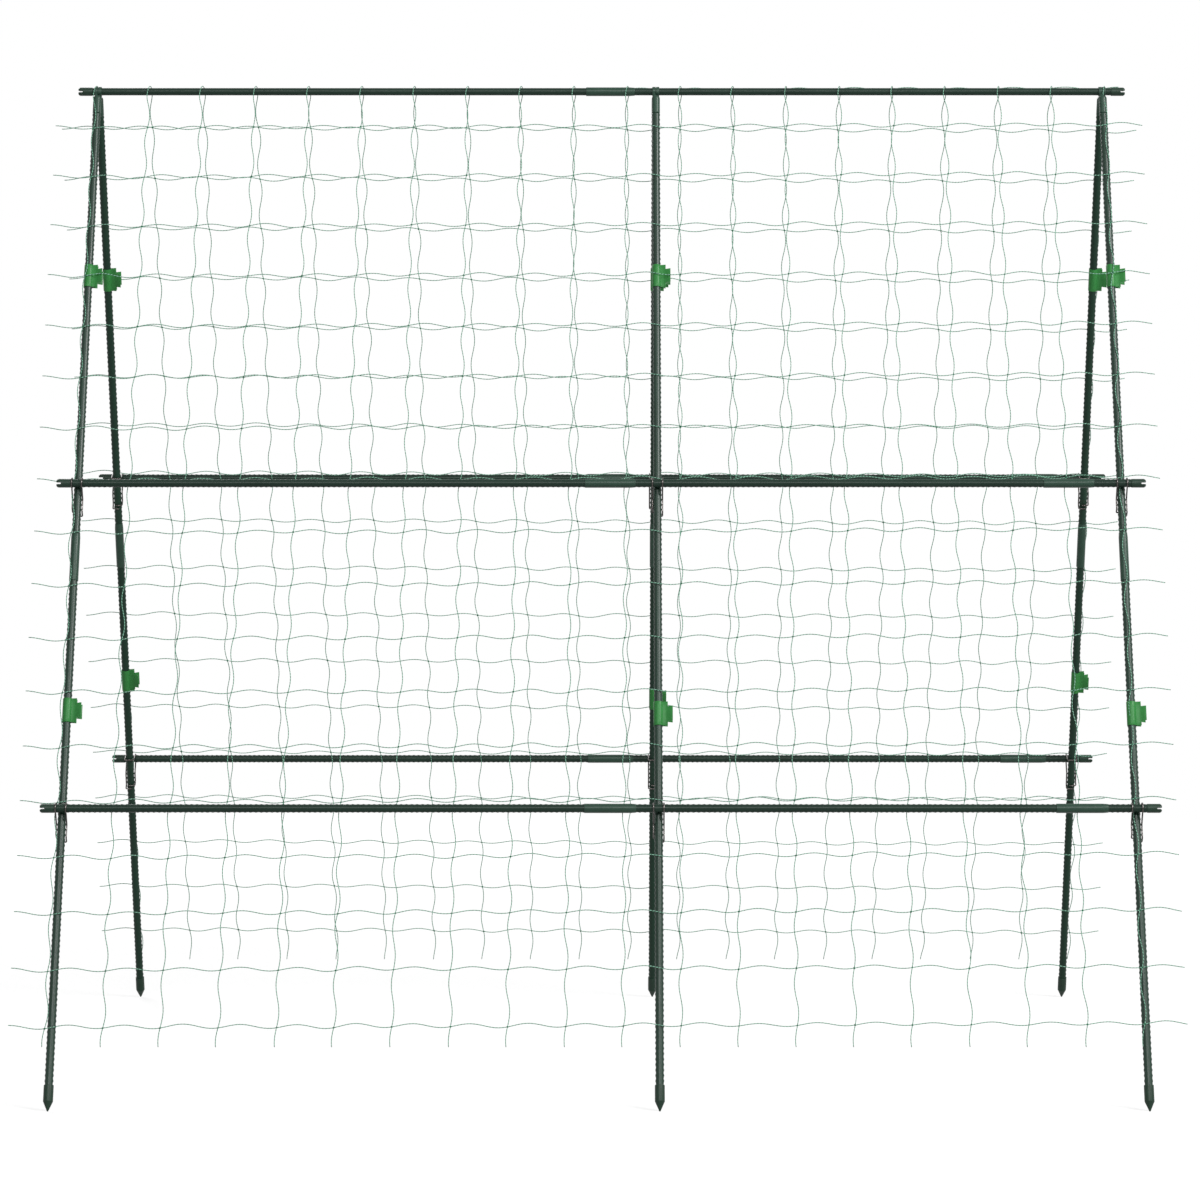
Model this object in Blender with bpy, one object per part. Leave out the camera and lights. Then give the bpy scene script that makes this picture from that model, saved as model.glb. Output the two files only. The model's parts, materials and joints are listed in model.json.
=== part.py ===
"""A-frame climbing trellis: six coated stakes hinged in pairs on a top bar, four lower bars,
wire ties where bars cross legs, snap clips on the legs and a string net over both sides.

Metres, +Z up. X runs along the bars, -Y is the front side, the tips stand on Z = 0 and the
origin lies under the top bar, halfway between the outer A-frames.
"""

import math

import bmesh
import bpy
from mathutils import Matrix, Vector

# The frame as a whole
FRAME_SPAN = 1.883            # left A-frame to right A-frame
MIDDLE_PLACE = 1.046          # middle A-frame, from the left one
LEG_LENGTH = 1.918            # top bar's axis to the tip, along a leg
LEG_SLANT = math.radians(20.3)
GAP = 0.0003                  # clearance between pieces that touch

# Coated steel stakes, their joiner sleeves and end fittings
STAKE_RADIUS = 0.0069
STAKE_WALL = 0.0007
JOINER_RADIUS = 0.0082
JOINER_LENGTH = 0.091
JOINER_TAPER = 0.003
TURNED_SIDES = 12

# Legs
LEG_JOINT = 0.921             # where a leg's two stakes meet, from the top bar's axis
TIP_RADIUS = 0.0086
TIP_SLEEVE = 0.026
TIP_CONE = 0.0155
TIP_FLOOR = 0.002             # solid plastic between the socket and the cone
TIP_BLUNT = 0.0019
TIP_RIM = 0.0006

# Apex caps, each with one eye round the top bar
EYE_RADIUS = 0.0092
EYE_WIDTH = 0.0064
EYE_SIDES = 14
CAP_RADIUS = 0.0073
CAP_CROWN_RADIUS = 0.0055
CAP_TOP = 0.0132              # crown, from the top bar's axis
CAP_SHOULDER = 0.0035
CAP_FOOT = 0.044              # where the cap ends and the stake starts
CAP_SPIGOT = 0.018
CAP_CLEARANCE = 0.0006        # cap to the A-frame's middle plane, with the legs closed
WEB_WIDTH = 0.0053
WEB_DEPTH = 0.0086
WEB_GRIP = (-10, 60)          # degrees of the eye's ring that the web takes in
WEB_GRIP_STEPS = 5

# Bars
BAR_LEFT_REACH = 0.037        # bar end past the left A-frame
BAR_RIGHT_REACH = 0.043
BAR_JOINT = 0.961             # first joiner's middle, from the left A-frame
BAR_SECOND_JOINT = 0.096      # second joiner's middle, short of the right A-frame
MIDDLE_BAR = 0.7872           # bar's centre, from the top bar's axis along the leg
LOWER_BAR = 1.3900
END_CAP_RADIUS = 0.0079
END_CAP_LENGTH = 0.027
END_CAP_NOSE = 0.012          # solid length behind the fork
END_CAP_ROUND = 0.0012
FORK_DEPTH = 0.0085
FORK_SLOT = 0.0026
FORK_MOUTH = 0.0074
FORK_FLARE = 0.0036

# Wire ties
WIRE_RADIUS = 0.0007
WIRE_SPREAD = 0.0180          # between a tie's two wires
WIRE_SIDES = 4
TIE_BEND = 0.0022
TIE_ARC_STEPS = 5
TIE_RETURN = 0.016            # below the bar, where the wires reach the leg's sides again
TIE_SHORT_TAIL = 0.058
TIE_LONG_TAIL = 0.065
TIE_HOOK = 0.0125

# Snap clips
CLIP_WALL = 0.0013
CLIP_HEIGHT = 0.045
CLIP_TIP_HEIGHT = 0.0265
CLIP_MOUTH = math.radians(20)
CLIP_THROAT = (0.0147, 0.0036)    # where a lip steps in: reach, and offset from the middle
CLIP_TIP = (0.0255, 0.0083)
CLIP_ARC_STEPS = 12
UPPER_CLIP = 0.373            # along the leg, from the top bar's axis
FRONT_CLIPS = {"left": 0.184, "middle": 0.178, "right": 0.178}    # from the lower bar, upwards
BACK_CLIPS = {"left": 0.176, "middle": 0.1365, "right": 0.176}

# Net
NET_THICKNESS = 0.0012
NET_STRING = 0.0020
NET_COLUMNS = 13
NET_ROWS = 10
NET_FIRST_ROW = 0.075
NET_LAST_ROW = 1.768
NET_SIDE_TAIL = 0.076         # past the outer A-frames
NET_FRONT_TAIL = 0.042
NET_BACK_TAIL = 0.070
NET_WRAP_STEPS = 3
NET_WRAP_SLACK = math.radians(15)    # no less than half a facet's turn

# What follows from the sizes above
SLEEVE_BORE = STAKE_RADIUS + GAP
STAKE_BORE = STAKE_RADIUS - STAKE_WALL
LEG_OFFSET = CAP_RADIUS + CAP_CLEARANCE
NET_FACE = LEG_OFFSET + STAKE_RADIUS + GAP
BAR_OFFSET = NET_FACE + NET_THICKNESS + GAP + JOINER_RADIUS
TIE_REACH = (STAKE_RADIUS + GAP + WIRE_RADIUS) / math.cos(math.pi / 2 / TIE_ARC_STEPS)
TIE_INSIDE = LEG_OFFSET - STAKE_RADIUS - GAP - WIRE_RADIUS
PIVOT_HEIGHT = LEG_LENGTH * math.cos(LEG_SLANT) - LEG_OFFSET * math.sin(LEG_SLANT)
FRAME_PLACES = {"left": -FRAME_SPAN / 2, "middle": MIDDLE_PLACE - FRAME_SPAN / 2, "right": FRAME_SPAN / 2}
BAR_START = FRAME_PLACES["left"] - BAR_LEFT_REACH
BAR_END = FRAME_PLACES["right"] + BAR_RIGHT_REACH
FRONT, BACK = -1, 1


def make_material(name, colour, roughness, metallic=0.0):
    """A plain finish: colour is linear red, green and blue."""
    material = bpy.data.materials.new(name)
    material.use_nodes = True
    shader = material.node_tree.nodes["Principled BSDF"]
    shader.inputs["Base Color"].default_value = (*colour, 1.0)
    shader.inputs["Roughness"].default_value = roughness
    shader.inputs["Metallic"].default_value = metallic
    return material


def finish_mesh(bm, name, material, smooth=True):
    """Turn a bmesh into a mesh with outward faces and one material."""
    bmesh.ops.recalc_face_normals(bm, faces=bm.faces)
    mesh = bpy.data.meshes.new(name)
    bm.to_mesh(mesh)
    bm.free()
    mesh.materials.append(material)
    if smooth:
        mesh.shade_smooth()
        mesh.set_sharp_from_angle(angle=math.radians(35))
    return mesh


def place(name, mesh, parent, location=(0, 0, 0), rotation=(0, 0, 0)):
    """Put one named object in the scene."""
    thing = bpy.data.objects.new(name, mesh)
    bpy.context.scene.collection.objects.link(thing)
    thing.parent = parent
    thing.location = location
    thing.rotation_euler = rotation
    return thing


def turned(profile, closed, sides=TURNED_SIDES):
    """Turn (radius, height) points round Z. A closed profile is a loop off the axis;
    an open one starts and ends on the axis."""
    bm = bmesh.new()
    rings = []
    for radius, height in profile:
        if radius == 0:
            rings.append([bm.verts.new((0, 0, height))])
            continue
        ring = []
        for k in range(sides):
            turn = 2 * math.pi * (k + 0.5) / sides
            ring.append(bm.verts.new((radius * math.cos(turn), radius * math.sin(turn), height)))
        rings.append(ring)
    pairs = list(zip(rings, rings[1:]))
    if closed:
        pairs.append((rings[-1], rings[0]))
    for a, b in pairs:
        for k in range(sides):
            corners = [a[k % len(a)], a[(k + 1) % len(a)], b[(k + 1) % len(b)], b[k % len(b)]]
            bm.faces.new(list(dict.fromkeys(corners)))
    return bm


def swept(points, radius, sides):
    """A closed tube of the given radius along a list of points."""
    bm = bmesh.new()
    across = (points[1] - points[0]).orthogonal().normalized()
    rings = []
    for k, point in enumerate(points):
        before = points[max(k - 1, 0)]
        after = points[min(k + 1, len(points) - 1)]
        along = (after - before).normalized()
        across = (across - along * across.dot(along)).normalized()
        third = along.cross(across)
        ring = []
        for n in range(sides):
            turn = 2 * math.pi * (n + 0.5) / sides
            ring.append(bm.verts.new(point + radius * (math.cos(turn) * across + math.sin(turn) * third)))
        rings.append(ring)
    for a, b in zip(rings, rings[1:]):
        for n in range(sides):
            bm.faces.new((a[n], a[(n + 1) % sides], b[(n + 1) % sides], b[n]))
    bm.faces.new(rings[0])
    bm.faces.new(rings[-1])
    return bm


def extruded(outline, low, high, axis):
    """Push a flat outline of (u, v) points from low to high along X, Y or Z."""
    order = {"X": lambda u, v, w: (w, u, v), "Y": lambda u, v, w: (u, w, v), "Z": lambda u, v, w: (u, v, w)}
    bm = bmesh.new()
    ends = [[bm.verts.new(order[axis](u, v, w)) for u, v in outline] for w in (low, high)]
    bm.faces.new(ends[0])
    bm.faces.new(ends[1])
    for k in range(len(outline)):
        after = (k + 1) % len(outline)
        bm.faces.new((ends[0][k], ends[0][after], ends[1][after], ends[1][k]))
    return bm


def thick_sheet(inner, outer, has_cell):
    """Join two grids of points, inner[i][j] and outer[i][j], into one closed sheet that has
    only the cells for which has_cell(i, j) is true."""
    bm = bmesh.new()
    corners = {}

    def corner(grid, layer, i, j):
        if (layer, i, j) not in corners:
            corners[layer, i, j] = bm.verts.new(grid[i][j])
        return corners[layer, i, j]

    columns, rows = len(inner) - 1, len(inner[0]) - 1
    for i in range(columns):
        for j in range(rows):
            if not has_cell(i, j):
                continue
            loop = [(i, j), (i + 1, j), (i + 1, j + 1), (i, j + 1)]
            beyond = [(i, j - 1), (i + 1, j), (i, j + 1), (i - 1, j)]
            bm.faces.new([corner(inner, 0, *c) for c in loop])
            bm.faces.new([corner(outer, 1, *c) for c in loop])
            for k, (m, n) in enumerate(beyond):
                if 0 <= m < columns and 0 <= n < rows and has_cell(m, n):
                    continue
                a, b = loop[k], loop[(k + 1) % 4]
                wall = [corner(inner, 0, *a), corner(inner, 0, *b)]
                wall += [corner(outer, 1, *b), corner(outer, 1, *a)]
                bm.faces.new(wall)
    return bm


def combined(name, base, others, operation, material):
    """Join other closed meshes to a base mesh, or cut them from it, and keep the result."""
    thing = bpy.data.objects.new(name, base)
    bpy.context.scene.collection.objects.link(thing)
    helpers = []
    for k, other in enumerate(others):
        helper = bpy.data.objects.new(f"{name}_{k}", other)
        bpy.context.scene.collection.objects.link(helper)
        helpers.append(helper)
        boolean = thing.modifiers.new(f"join {k}", "BOOLEAN")
        boolean.operation = operation
        boolean.object = helper
    graph = bpy.context.evaluated_depsgraph_get()
    mesh = bpy.data.meshes.new_from_object(thing.evaluated_get(graph))
    for used in [thing, *helpers]:
        bpy.data.objects.remove(used)
    mesh.name = name
    mesh.materials.clear()
    mesh.materials.append(material)
    mesh.shade_smooth()
    mesh.set_sharp_from_angle(angle=math.radians(35))
    return mesh


def rounded(points, radius):
    """Cut each corner of a path with two points, a short way before and after it."""
    path = [points[0]]
    for before, corner, after in zip(points, points[1:], points[2:]):
        for end in (before, after):
            reach = min(radius, (end - corner).length / 2.2)
            path.append(corner + (end - corner).normalized() * reach)
    path.append(points[-1])
    return path


def plain_stake(top, bottom):
    """A hollow stake between two distances down the leg."""
    outline = [(STAKE_BORE, -top), (STAKE_RADIUS, -top), (STAKE_RADIUS, -bottom), (STAKE_BORE, -bottom)]
    return turned(outline, True)


def sleeve_outline(middle, below):
    """A joiner's outside, from its open end to where it meets its stake. below is -1 where
    the stake carries on downwards and 1 where it carries on upwards."""
    half = JOINER_LENGTH / 2
    return [
        (SLEEVE_BORE, middle - below * half),
        ((SLEEVE_BORE + JOINER_RADIUS) / 2, middle - below * half),
        (JOINER_RADIUS, middle - below * (half - JOINER_TAPER)),
        (JOINER_RADIUS, middle + below * (half - JOINER_TAPER)),
        (STAKE_RADIUS, middle + below * half),
    ]


def joined_stake(joint, bottom):
    """A lower stake with its joiner sleeve, which the upper stake plugs into."""
    outline = sleeve_outline(-joint, -1)
    outline += [(STAKE_RADIUS, -bottom), (STAKE_BORE, -bottom), (STAKE_BORE, -joint), (SLEEVE_BORE, -joint)]
    return turned(outline, True)


def foot_tip():
    """A leg's pointed plastic foot with its socket, its blunt end cut level for standing."""
    mouth = LEG_LENGTH - TIP_CONE - TIP_SLEEVE
    socket = LEG_LENGTH - TIP_CONE - TIP_FLOOR
    spare = TIP_BLUNT
    slope = (TIP_RADIUS - TIP_BLUNT) / TIP_CONE
    outline = [
        (0, -LEG_LENGTH - spare),
        (TIP_BLUNT - slope * spare, -LEG_LENGTH - spare),
        (TIP_RADIUS, -LEG_LENGTH + TIP_CONE),
        (TIP_RADIUS, -mouth - TIP_RIM),
        (TIP_RADIUS - TIP_RIM, -mouth),
        (SLEEVE_BORE, -mouth),
        (SLEEVE_BORE, -socket),
        (0, -socket),
    ]
    bm = turned(outline, False)
    down = Vector((0, math.sin(LEG_SLANT), -math.cos(LEG_SLANT)))
    everything = bm.verts[:] + bm.edges[:] + bm.faces[:]
    point = (0, 0, -LEG_LENGTH)
    cut = bmesh.ops.bisect_plane(bm, geom=everything, plane_co=point, plane_no=down, clear_outer=True)
    rim = [edge for edge in cut["geom_cut"] if isinstance(edge, bmesh.types.BMEdge)]
    bmesh.ops.contextual_create(bm, geom=rim)
    return bm


def apex_cap(material):
    """A leg's top cap: a head that plugs into the stake, a web and an eye on the -X side."""
    spigot_radius = STAKE_BORE - GAP
    head = turned(
        [
            (0, -CAP_TOP),
            (CAP_CROWN_RADIUS, -CAP_TOP),
            (CAP_RADIUS, -CAP_TOP - CAP_SHOULDER),
            (CAP_RADIUS, -CAP_FOOT),
            (spigot_radius, -CAP_FOOT),
            (spigot_radius, -CAP_FOOT - CAP_SPIGOT),
            (0, -CAP_FOOT - CAP_SPIGOT),
        ],
        False,
    )
    bmesh.ops.translate(head, verts=head.verts, vec=(0, -LEG_OFFSET, 0))
    bore = (STAKE_RADIUS + GAP) / math.cos(math.pi / EYE_SIDES)
    near, far = -GAP / 2, -GAP / 2 - EYE_WIDTH
    eye = turned([(bore, near), (EYE_RADIUS, near), (EYE_RADIUS, far), (bore, far)], True, EYE_SIDES)
    bmesh.ops.rotate(eye, verts=eye.verts, matrix=Matrix.Rotation(math.pi / 2, 3, "Y"))
    middle = (bore + EYE_RADIUS) / 2
    outline = []
    for k in range(WEB_GRIP_STEPS + 1):
        turn = math.radians(WEB_GRIP[0] + (WEB_GRIP[1] - WEB_GRIP[0]) * k / WEB_GRIP_STEPS)
        outline.append((-middle * math.sin(turn), -middle * math.cos(turn)))
    root = -CAP_TOP - CAP_SHOULDER
    outline += [(-LEG_OFFSET - WEB_DEPTH / 2, root), (-LEG_OFFSET + WEB_DEPTH / 2, root)]
    web = extruded(outline, near - WEB_WIDTH, near, "X")
    meshes = [finish_mesh(bm, "cap piece", material) for bm in (head, web, eye)]
    return combined("apex cap", meshes[0], meshes[1:], "UNION", material)


def bar_section(start, end, material, name, sleeves=(), capped_end=1):
    """One section of a bar along X. It ends in a forked cap on its capped side, which is 1 for
    +X and -1 for -X. The first sleeve holds the next section; a later one is only passed."""
    nose = end if capped_end == 1 else start
    inner = start if capped_end == 1 else end
    side = capped_end
    outline = [
        (0, nose - side * END_CAP_NOSE),
        (STAKE_BORE, nose - side * END_CAP_NOSE),
        (STAKE_BORE, inner),
    ]
    if sleeves:
        outline += [(SLEEVE_BORE, inner)] + sleeve_outline(sleeves[0], side)
    else:
        outline += [(STAKE_RADIUS, inner)]
    for middle in sleeves[1:]:
        half = JOINER_LENGTH / 2
        outline += [(STAKE_RADIUS, middle - half), (JOINER_RADIUS, middle - half + JOINER_TAPER)]
        outline += [(JOINER_RADIUS, middle + half - JOINER_TAPER), (STAKE_RADIUS, middle + half)]
    outline += [
        (STAKE_RADIUS, nose - side * END_CAP_LENGTH),
        (END_CAP_RADIUS, nose - side * (END_CAP_LENGTH - END_CAP_ROUND)),
        (END_CAP_RADIUS, nose - side * END_CAP_ROUND),
        (END_CAP_RADIUS - END_CAP_ROUND, nose),
        (0, nose),
    ]
    bm = turned(outline, False)
    bmesh.ops.rotate(bm, verts=bm.verts, matrix=Matrix.Rotation(math.pi / 2, 3, "Y"))
    slot, mouth = FORK_SLOT / 2, FORK_MOUTH / 2
    spare = END_CAP_ROUND
    fork = [
        (nose + side * spare, mouth),
        (nose, mouth),
        (nose - side * FORK_FLARE, slot),
        (nose - side * FORK_DEPTH, slot),
        (nose - side * FORK_DEPTH, -slot),
        (nose - side * FORK_FLARE, -slot),
        (nose, -mouth),
        (nose + side * spare, -mouth),
    ]
    cutter = extruded(fork, -END_CAP_RADIUS - spare, END_CAP_RADIUS + spare, "Y")
    meshes = [finish_mesh(piece, "bar piece", material) for piece in (bm, cutter)]
    return combined(name, meshes[0], meshes[1:], "DIFFERENCE", material)


def wire_tie():
    """A bent wire that ties a bar to a leg, with the bar's axis through its origin. Its closed
    end crosses the leg's inner face, both wires go over the bar and down beside the leg, and
    each ends in a hook across the inner face."""
    inside = BAR_OFFSET - TIE_INSIDE
    beside = BAR_OFFSET - LEG_OFFSET
    half = WIRE_SPREAD / 2

    def one_wire(side, tail):
        x = side * half
        line = [Vector((x - side * TIE_HOOK, inside, -tail))]
        line += [Vector((x, inside, -tail)), Vector((x, beside, -tail + TIE_BEND * 2))]
        line += [Vector((x, beside, -TIE_REACH - TIE_RETURN))]
        path = rounded(line + [Vector((x, 0, -TIE_REACH))], TIE_BEND)
        for k in range(1, TIE_ARC_STEPS):
            turn = math.pi * k / TIE_ARC_STEPS
            path.append(Vector((x, -TIE_REACH * math.sin(turn), -TIE_REACH * math.cos(turn))))
        path.append(Vector((x, 0, TIE_REACH)))
        path.append(Vector((x, inside - TIE_BEND, TIE_REACH)))
        path.append(Vector((x - side * TIE_BEND, inside, TIE_REACH)))
        return path

    left = one_wire(-1, TIE_SHORT_TAIL)
    right = one_wire(1, TIE_LONG_TAIL)
    return swept(left + right[::-1], WIRE_RADIUS, WIRE_SIDES)


def snap_clip():
    """A springy clip round a stake, its mouth towards +X, with two flared lips that step in."""
    step = (2 * math.pi - 2 * CLIP_MOUTH) / CLIP_ARC_STEPS
    bore = (STAKE_RADIUS + GAP) / math.cos(step / 2)
    shell = STAKE_RADIUS + GAP + CLIP_WALL
    middle = (bore + shell) / 2
    root = Vector((middle * math.cos(CLIP_MOUTH), middle * math.sin(CLIP_MOUTH)))
    throat, tip = Vector(CLIP_THROAT), Vector(CLIP_TIP)
    flare = (tip - throat).normalized()
    lip = []
    for point, along in ((tip, flare), (throat, (flare + (throat - root).normalized()).normalized())):
        offset = Vector((-along.y, along.x)) * CLIP_WALL / 2
        lip.append((point - offset, point + offset))
    mirrored = [tuple(Vector((p.x, -p.y)) for p in pair) for pair in lip]
    arc = []
    for k in range(CLIP_ARC_STEPS + 1):
        turn = CLIP_MOUTH + step * k
        way = Vector((math.cos(turn), math.sin(turn)))
        arc.append((way * bore, way * shell))
    section = lip + arc + mirrored[::-1]
    heights = [-CLIP_HEIGHT / 2, -CLIP_TIP_HEIGHT / 2, CLIP_TIP_HEIGHT / 2, CLIP_HEIGHT / 2]
    inner = [[(pair[0].x, pair[0].y, z) for z in heights] for pair in section]
    outer = [[(pair[1].x, pair[1].y, z) for z in heights] for pair in section]
    last = len(section) - 2
    bm = thick_sheet(inner, outer, lambda i, j: j == 1 or 0 < i < last)
    bmesh.ops.dissolve_limit(bm, angle_limit=math.radians(0.5), verts=bm.verts, edges=bm.edges)
    return bm


def clear_of(place_at, zones, half_width):
    """Move a string just past any zone that it would run through."""
    for low, high in zones:
        low, high = low - half_width - GAP, high + half_width + GAP
        if low < place_at < high:
            return low if place_at - low < high - place_at else high
    return place_at


def net_lines(side):
    """Where the net's columns and rows run, clear of the clips, ties and sleeves on one side."""
    near = max(STAKE_RADIUS + GAP + CLIP_WALL, WIRE_SPREAD / 2 + WIRE_RADIUS)
    posts = [(x - near - GAP, x + CLIP_TIP[0] + GAP) for x in FRAME_PLACES.values()]
    pitch = FRAME_SPAN / (NET_COLUMNS - 1)
    half = NET_STRING / 2
    columns = [clear_of(-FRAME_SPAN / 2 + pitch * k, posts, half) for k in range(NET_COLUMNS)]
    lower_clips = [LOWER_BAR - up for up in (FRONT_CLIPS if side == FRONT else BACK_CLIPS).values()]
    reach = CLIP_HEIGHT / 2
    hurdles = [(UPPER_CLIP - reach, UPPER_CLIP + reach)]
    hurdles += [(min(lower_clips) - reach, max(lower_clips) + reach)]
    hurdles += [(LEG_JOINT - JOINER_LENGTH / 2, LEG_JOINT + JOINER_LENGTH / 2)]
    tie = TIE_REACH + WIRE_RADIUS
    hurdles += [(bar - tie, bar + tie + TIE_RETURN) for bar in (MIDDLE_BAR, LOWER_BAR)]
    pitch = (NET_LAST_ROW - NET_FIRST_ROW) / (NET_ROWS - 1)
    rows = [clear_of(NET_FIRST_ROW + pitch * k, hurdles, half) for k in range(NET_ROWS)]
    return columns, rows


def net_profile(side, rows, tail):
    """The net's side view as (inner, outer) points and the stations that bound each row: over
    the top bar, down to the legs' face and along it."""
    wrap = (JOINER_RADIUS + GAP) / math.cos(NET_WRAP_SLACK)
    reach = math.hypot(rows[0], NET_FACE)
    leave = math.acos(wrap / reach) - math.atan2(rows[0], NET_FACE)
    stations = []
    ridge = math.pi / 2 - LEG_SLANT
    for k in range(NET_WRAP_STEPS + 1):
        turn = ridge + (-leave - ridge) * k / NET_WRAP_STEPS
        way = Vector((math.cos(turn), math.sin(turn)))
        stations.append((way * wrap, way * (wrap + NET_THICKNESS)))
    half = NET_STRING / 2
    ends = [rows[0] - half, rows[0] + half]
    for row in rows[1:]:
        ends += [row - half, row + half]
    ends.append(rows[-1] + half + tail)
    stations += [(Vector((NET_FACE, -s)), Vector((NET_FACE + NET_THICKNESS, -s))) for s in ends]
    first = stations[0]
    shift = Vector((math.sin(LEG_SLANT), math.cos(LEG_SLANT)))
    across = Vector((math.cos(LEG_SLANT), -math.sin(LEG_SLANT))) * (GAP / 2)
    stations[0] = tuple(shift * shift.dot(point) + across for point in first)
    return [[Vector((side * p.x, p.y)) for p in pair] for pair in stations]


def net_panel(side, tail):
    """One side of the net in the hinge's own axes: a lattice of strings, with loose tails."""
    columns, rows = net_lines(side)
    profile = net_profile(side, rows, tail)
    half = NET_STRING / 2
    edge = FRAME_SPAN / 2 + NET_SIDE_TAIL
    across = [-edge]
    for column in columns:
        across += [column - half, column + half]
    across.append(edge)
    inner = [[(x, pair[0].x, pair[0].y) for pair in profile] for x in across]
    outer = [[(x, pair[1].x, pair[1].y) for pair in profile] for x in across]
    above = NET_WRAP_STEPS + 1

    def has_cell(i, j):
        return i % 2 == 1 or (j >= above and (j - above) % 2 == 0 and j < above + 2 * len(rows))

    return thick_sheet(inner, outer, has_cell)


def build_legs(hinges, coated, moulded):
    """Six legs: apex cap, stakes and foot tip. The front middle leg is one unbroken stake."""
    cap_mesh = apex_cap(moulded)
    tip_mesh = finish_mesh(foot_tip(), "foot tip", moulded)
    top = CAP_FOOT + GAP
    bottom = LEG_LENGTH - TIP_CONE - TIP_FLOOR - GAP
    upper = finish_mesh(plain_stake(top, LEG_JOINT - GAP), "upper stake", coated)
    lower = finish_mesh(joined_stake(LEG_JOINT, bottom), "lower stake", coated)
    whole = finish_mesh(plain_stake(top, bottom), "whole stake", coated)
    for side, word in ((FRONT, "front"), (BACK, "back")):
        turn = (0, 0, math.pi if side == BACK else 0)
        for frame, x in FRAME_PLACES.items():
            parent = hinges[side]
            on_leg = (x, side * LEG_OFFSET, 0)
            place(f"apex_cap_{word}_{frame}", cap_mesh, parent, (x, 0, 0), turn)
            if (word, frame) == ("front", "middle"):
                place("leg_stake_front_middle", whole, parent, on_leg)
            else:
                place(f"upper_stake_{word}_{frame}", upper, parent, on_leg)
                place(f"lower_stake_{word}_{frame}", lower, parent, on_leg)
            place(f"foot_tip_{word}_{frame}", tip_mesh, parent, on_leg, turn)


def build_bars(hinges, coated):
    """The top bar in the eyes, and a middle and a lower bar outside each side's legs."""
    joint = FRAME_PLACES["left"] + BAR_JOINT
    second = FRAME_PLACES["right"] - BAR_SECOND_JOINT
    left = bar_section(BAR_START, joint - GAP, coated, "left bar section", capped_end=-1)
    long = bar_section(joint, BAR_END, coated, "top right section", sleeves=(joint,))
    right = bar_section(joint, BAR_END, coated, "right bar section", sleeves=(joint, second))
    level = (LEG_SLANT, 0, 0)
    place("top_bar_left", left, hinges[FRONT], (0, 0, 0), level)
    place("top_bar_right", long, hinges[FRONT], (0, 0, 0), level)
    for side, word in ((FRONT, "front"), (BACK, "back")):
        for height, down in (("middle", MIDDLE_BAR), ("lower", LOWER_BAR)):
            where = (0, side * BAR_OFFSET, -down)
            level = (-side * LEG_SLANT, 0, 0)
            place(f"{word}_{height}_bar_left", left, hinges[side], where, level)
            place(f"{word}_{height}_bar_right", right, hinges[side], where, level)


def build_fastenings(hinges, wire, clip_plastic):
    """Twelve wire ties and twelve snap clips."""
    tie_mesh = finish_mesh(wire_tie(), "wire tie", wire)
    clip_mesh = finish_mesh(snap_clip(), "snap clip", clip_plastic)
    for side, word in ((FRONT, "front"), (BACK, "back")):
        lower_clips = FRONT_CLIPS if side == FRONT else BACK_CLIPS
        turn = (0, 0, math.pi if side == BACK else 0)
        for frame, x in FRAME_PLACES.items():
            for height, down in (("middle", MIDDLE_BAR), ("lower", LOWER_BAR)):
                where = (x, side * BAR_OFFSET, -down)
                place(f"wire_tie_{word}_{height}_{frame}", tie_mesh, hinges[side], where, turn)
            for height, down in (("upper", UPPER_CLIP), ("lower", LOWER_BAR - lower_clips[frame])):
                where = (x, side * LEG_OFFSET, -down)
                place(f"snap_clip_{word}_{height}_{frame}", clip_mesh, hinges[side], where)


def build_net(hinges, string):
    """The net's two halves, which meet over the top bar."""
    for side, word, tail in ((FRONT, "front", NET_FRONT_TAIL), (BACK, "back", NET_BACK_TAIL)):
        mesh = finish_mesh(net_panel(side, tail), f"net {word}", string, smooth=False)
        place(f"net_{word}", mesh, hinges[side])


def main():
    for thing in list(bpy.data.objects):
        bpy.data.objects.remove(thing)
    coated = make_material("green coated steel", (0.035, 0.060, 0.047), 0.45)
    moulded = make_material("dark green plastic", (0.032, 0.062, 0.045), 0.50)
    wire = make_material("spring wire", (0.20, 0.18, 0.18), 0.35, 1.0)
    clip_plastic = make_material("bright green plastic", (0.035, 0.200, 0.045), 0.45)
    string = make_material("net string", (0.10, 0.30, 0.18), 0.70)
    hinges = {}
    for side, word in ((FRONT, "front"), (BACK, "back")):
        hinges[side] = place(f"{word} hinge", None, None, (0, 0, PIVOT_HEIGHT), (side * LEG_SLANT, 0, 0))
    build_legs(hinges, coated, moulded)
    build_bars(hinges, coated)
    build_fastenings(hinges, wire, clip_plastic)
    build_net(hinges, string)


main()
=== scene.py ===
"""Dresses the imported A-frame trellis: coated stakes with moulded knobs, joiner sleeves, apex caps,
foot tips, forked bar ends, bent wire ties, snap clips and a knotted string net.

Metres throughout, in the frame's own axes: X along the bars, Y away from the camera, Z up.
"down" is a distance from the top bar's axis along a leg, "out" one square to the hinge's plane.
"""

from __future__ import annotations

import json
import logging
import math
import random
from collections.abc import Sequence
from dataclasses import dataclass, field
from enum import Enum
from itertools import product

import bmesh
import bpy
import numpy as np
from mathutils import Matrix, Vector


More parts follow.
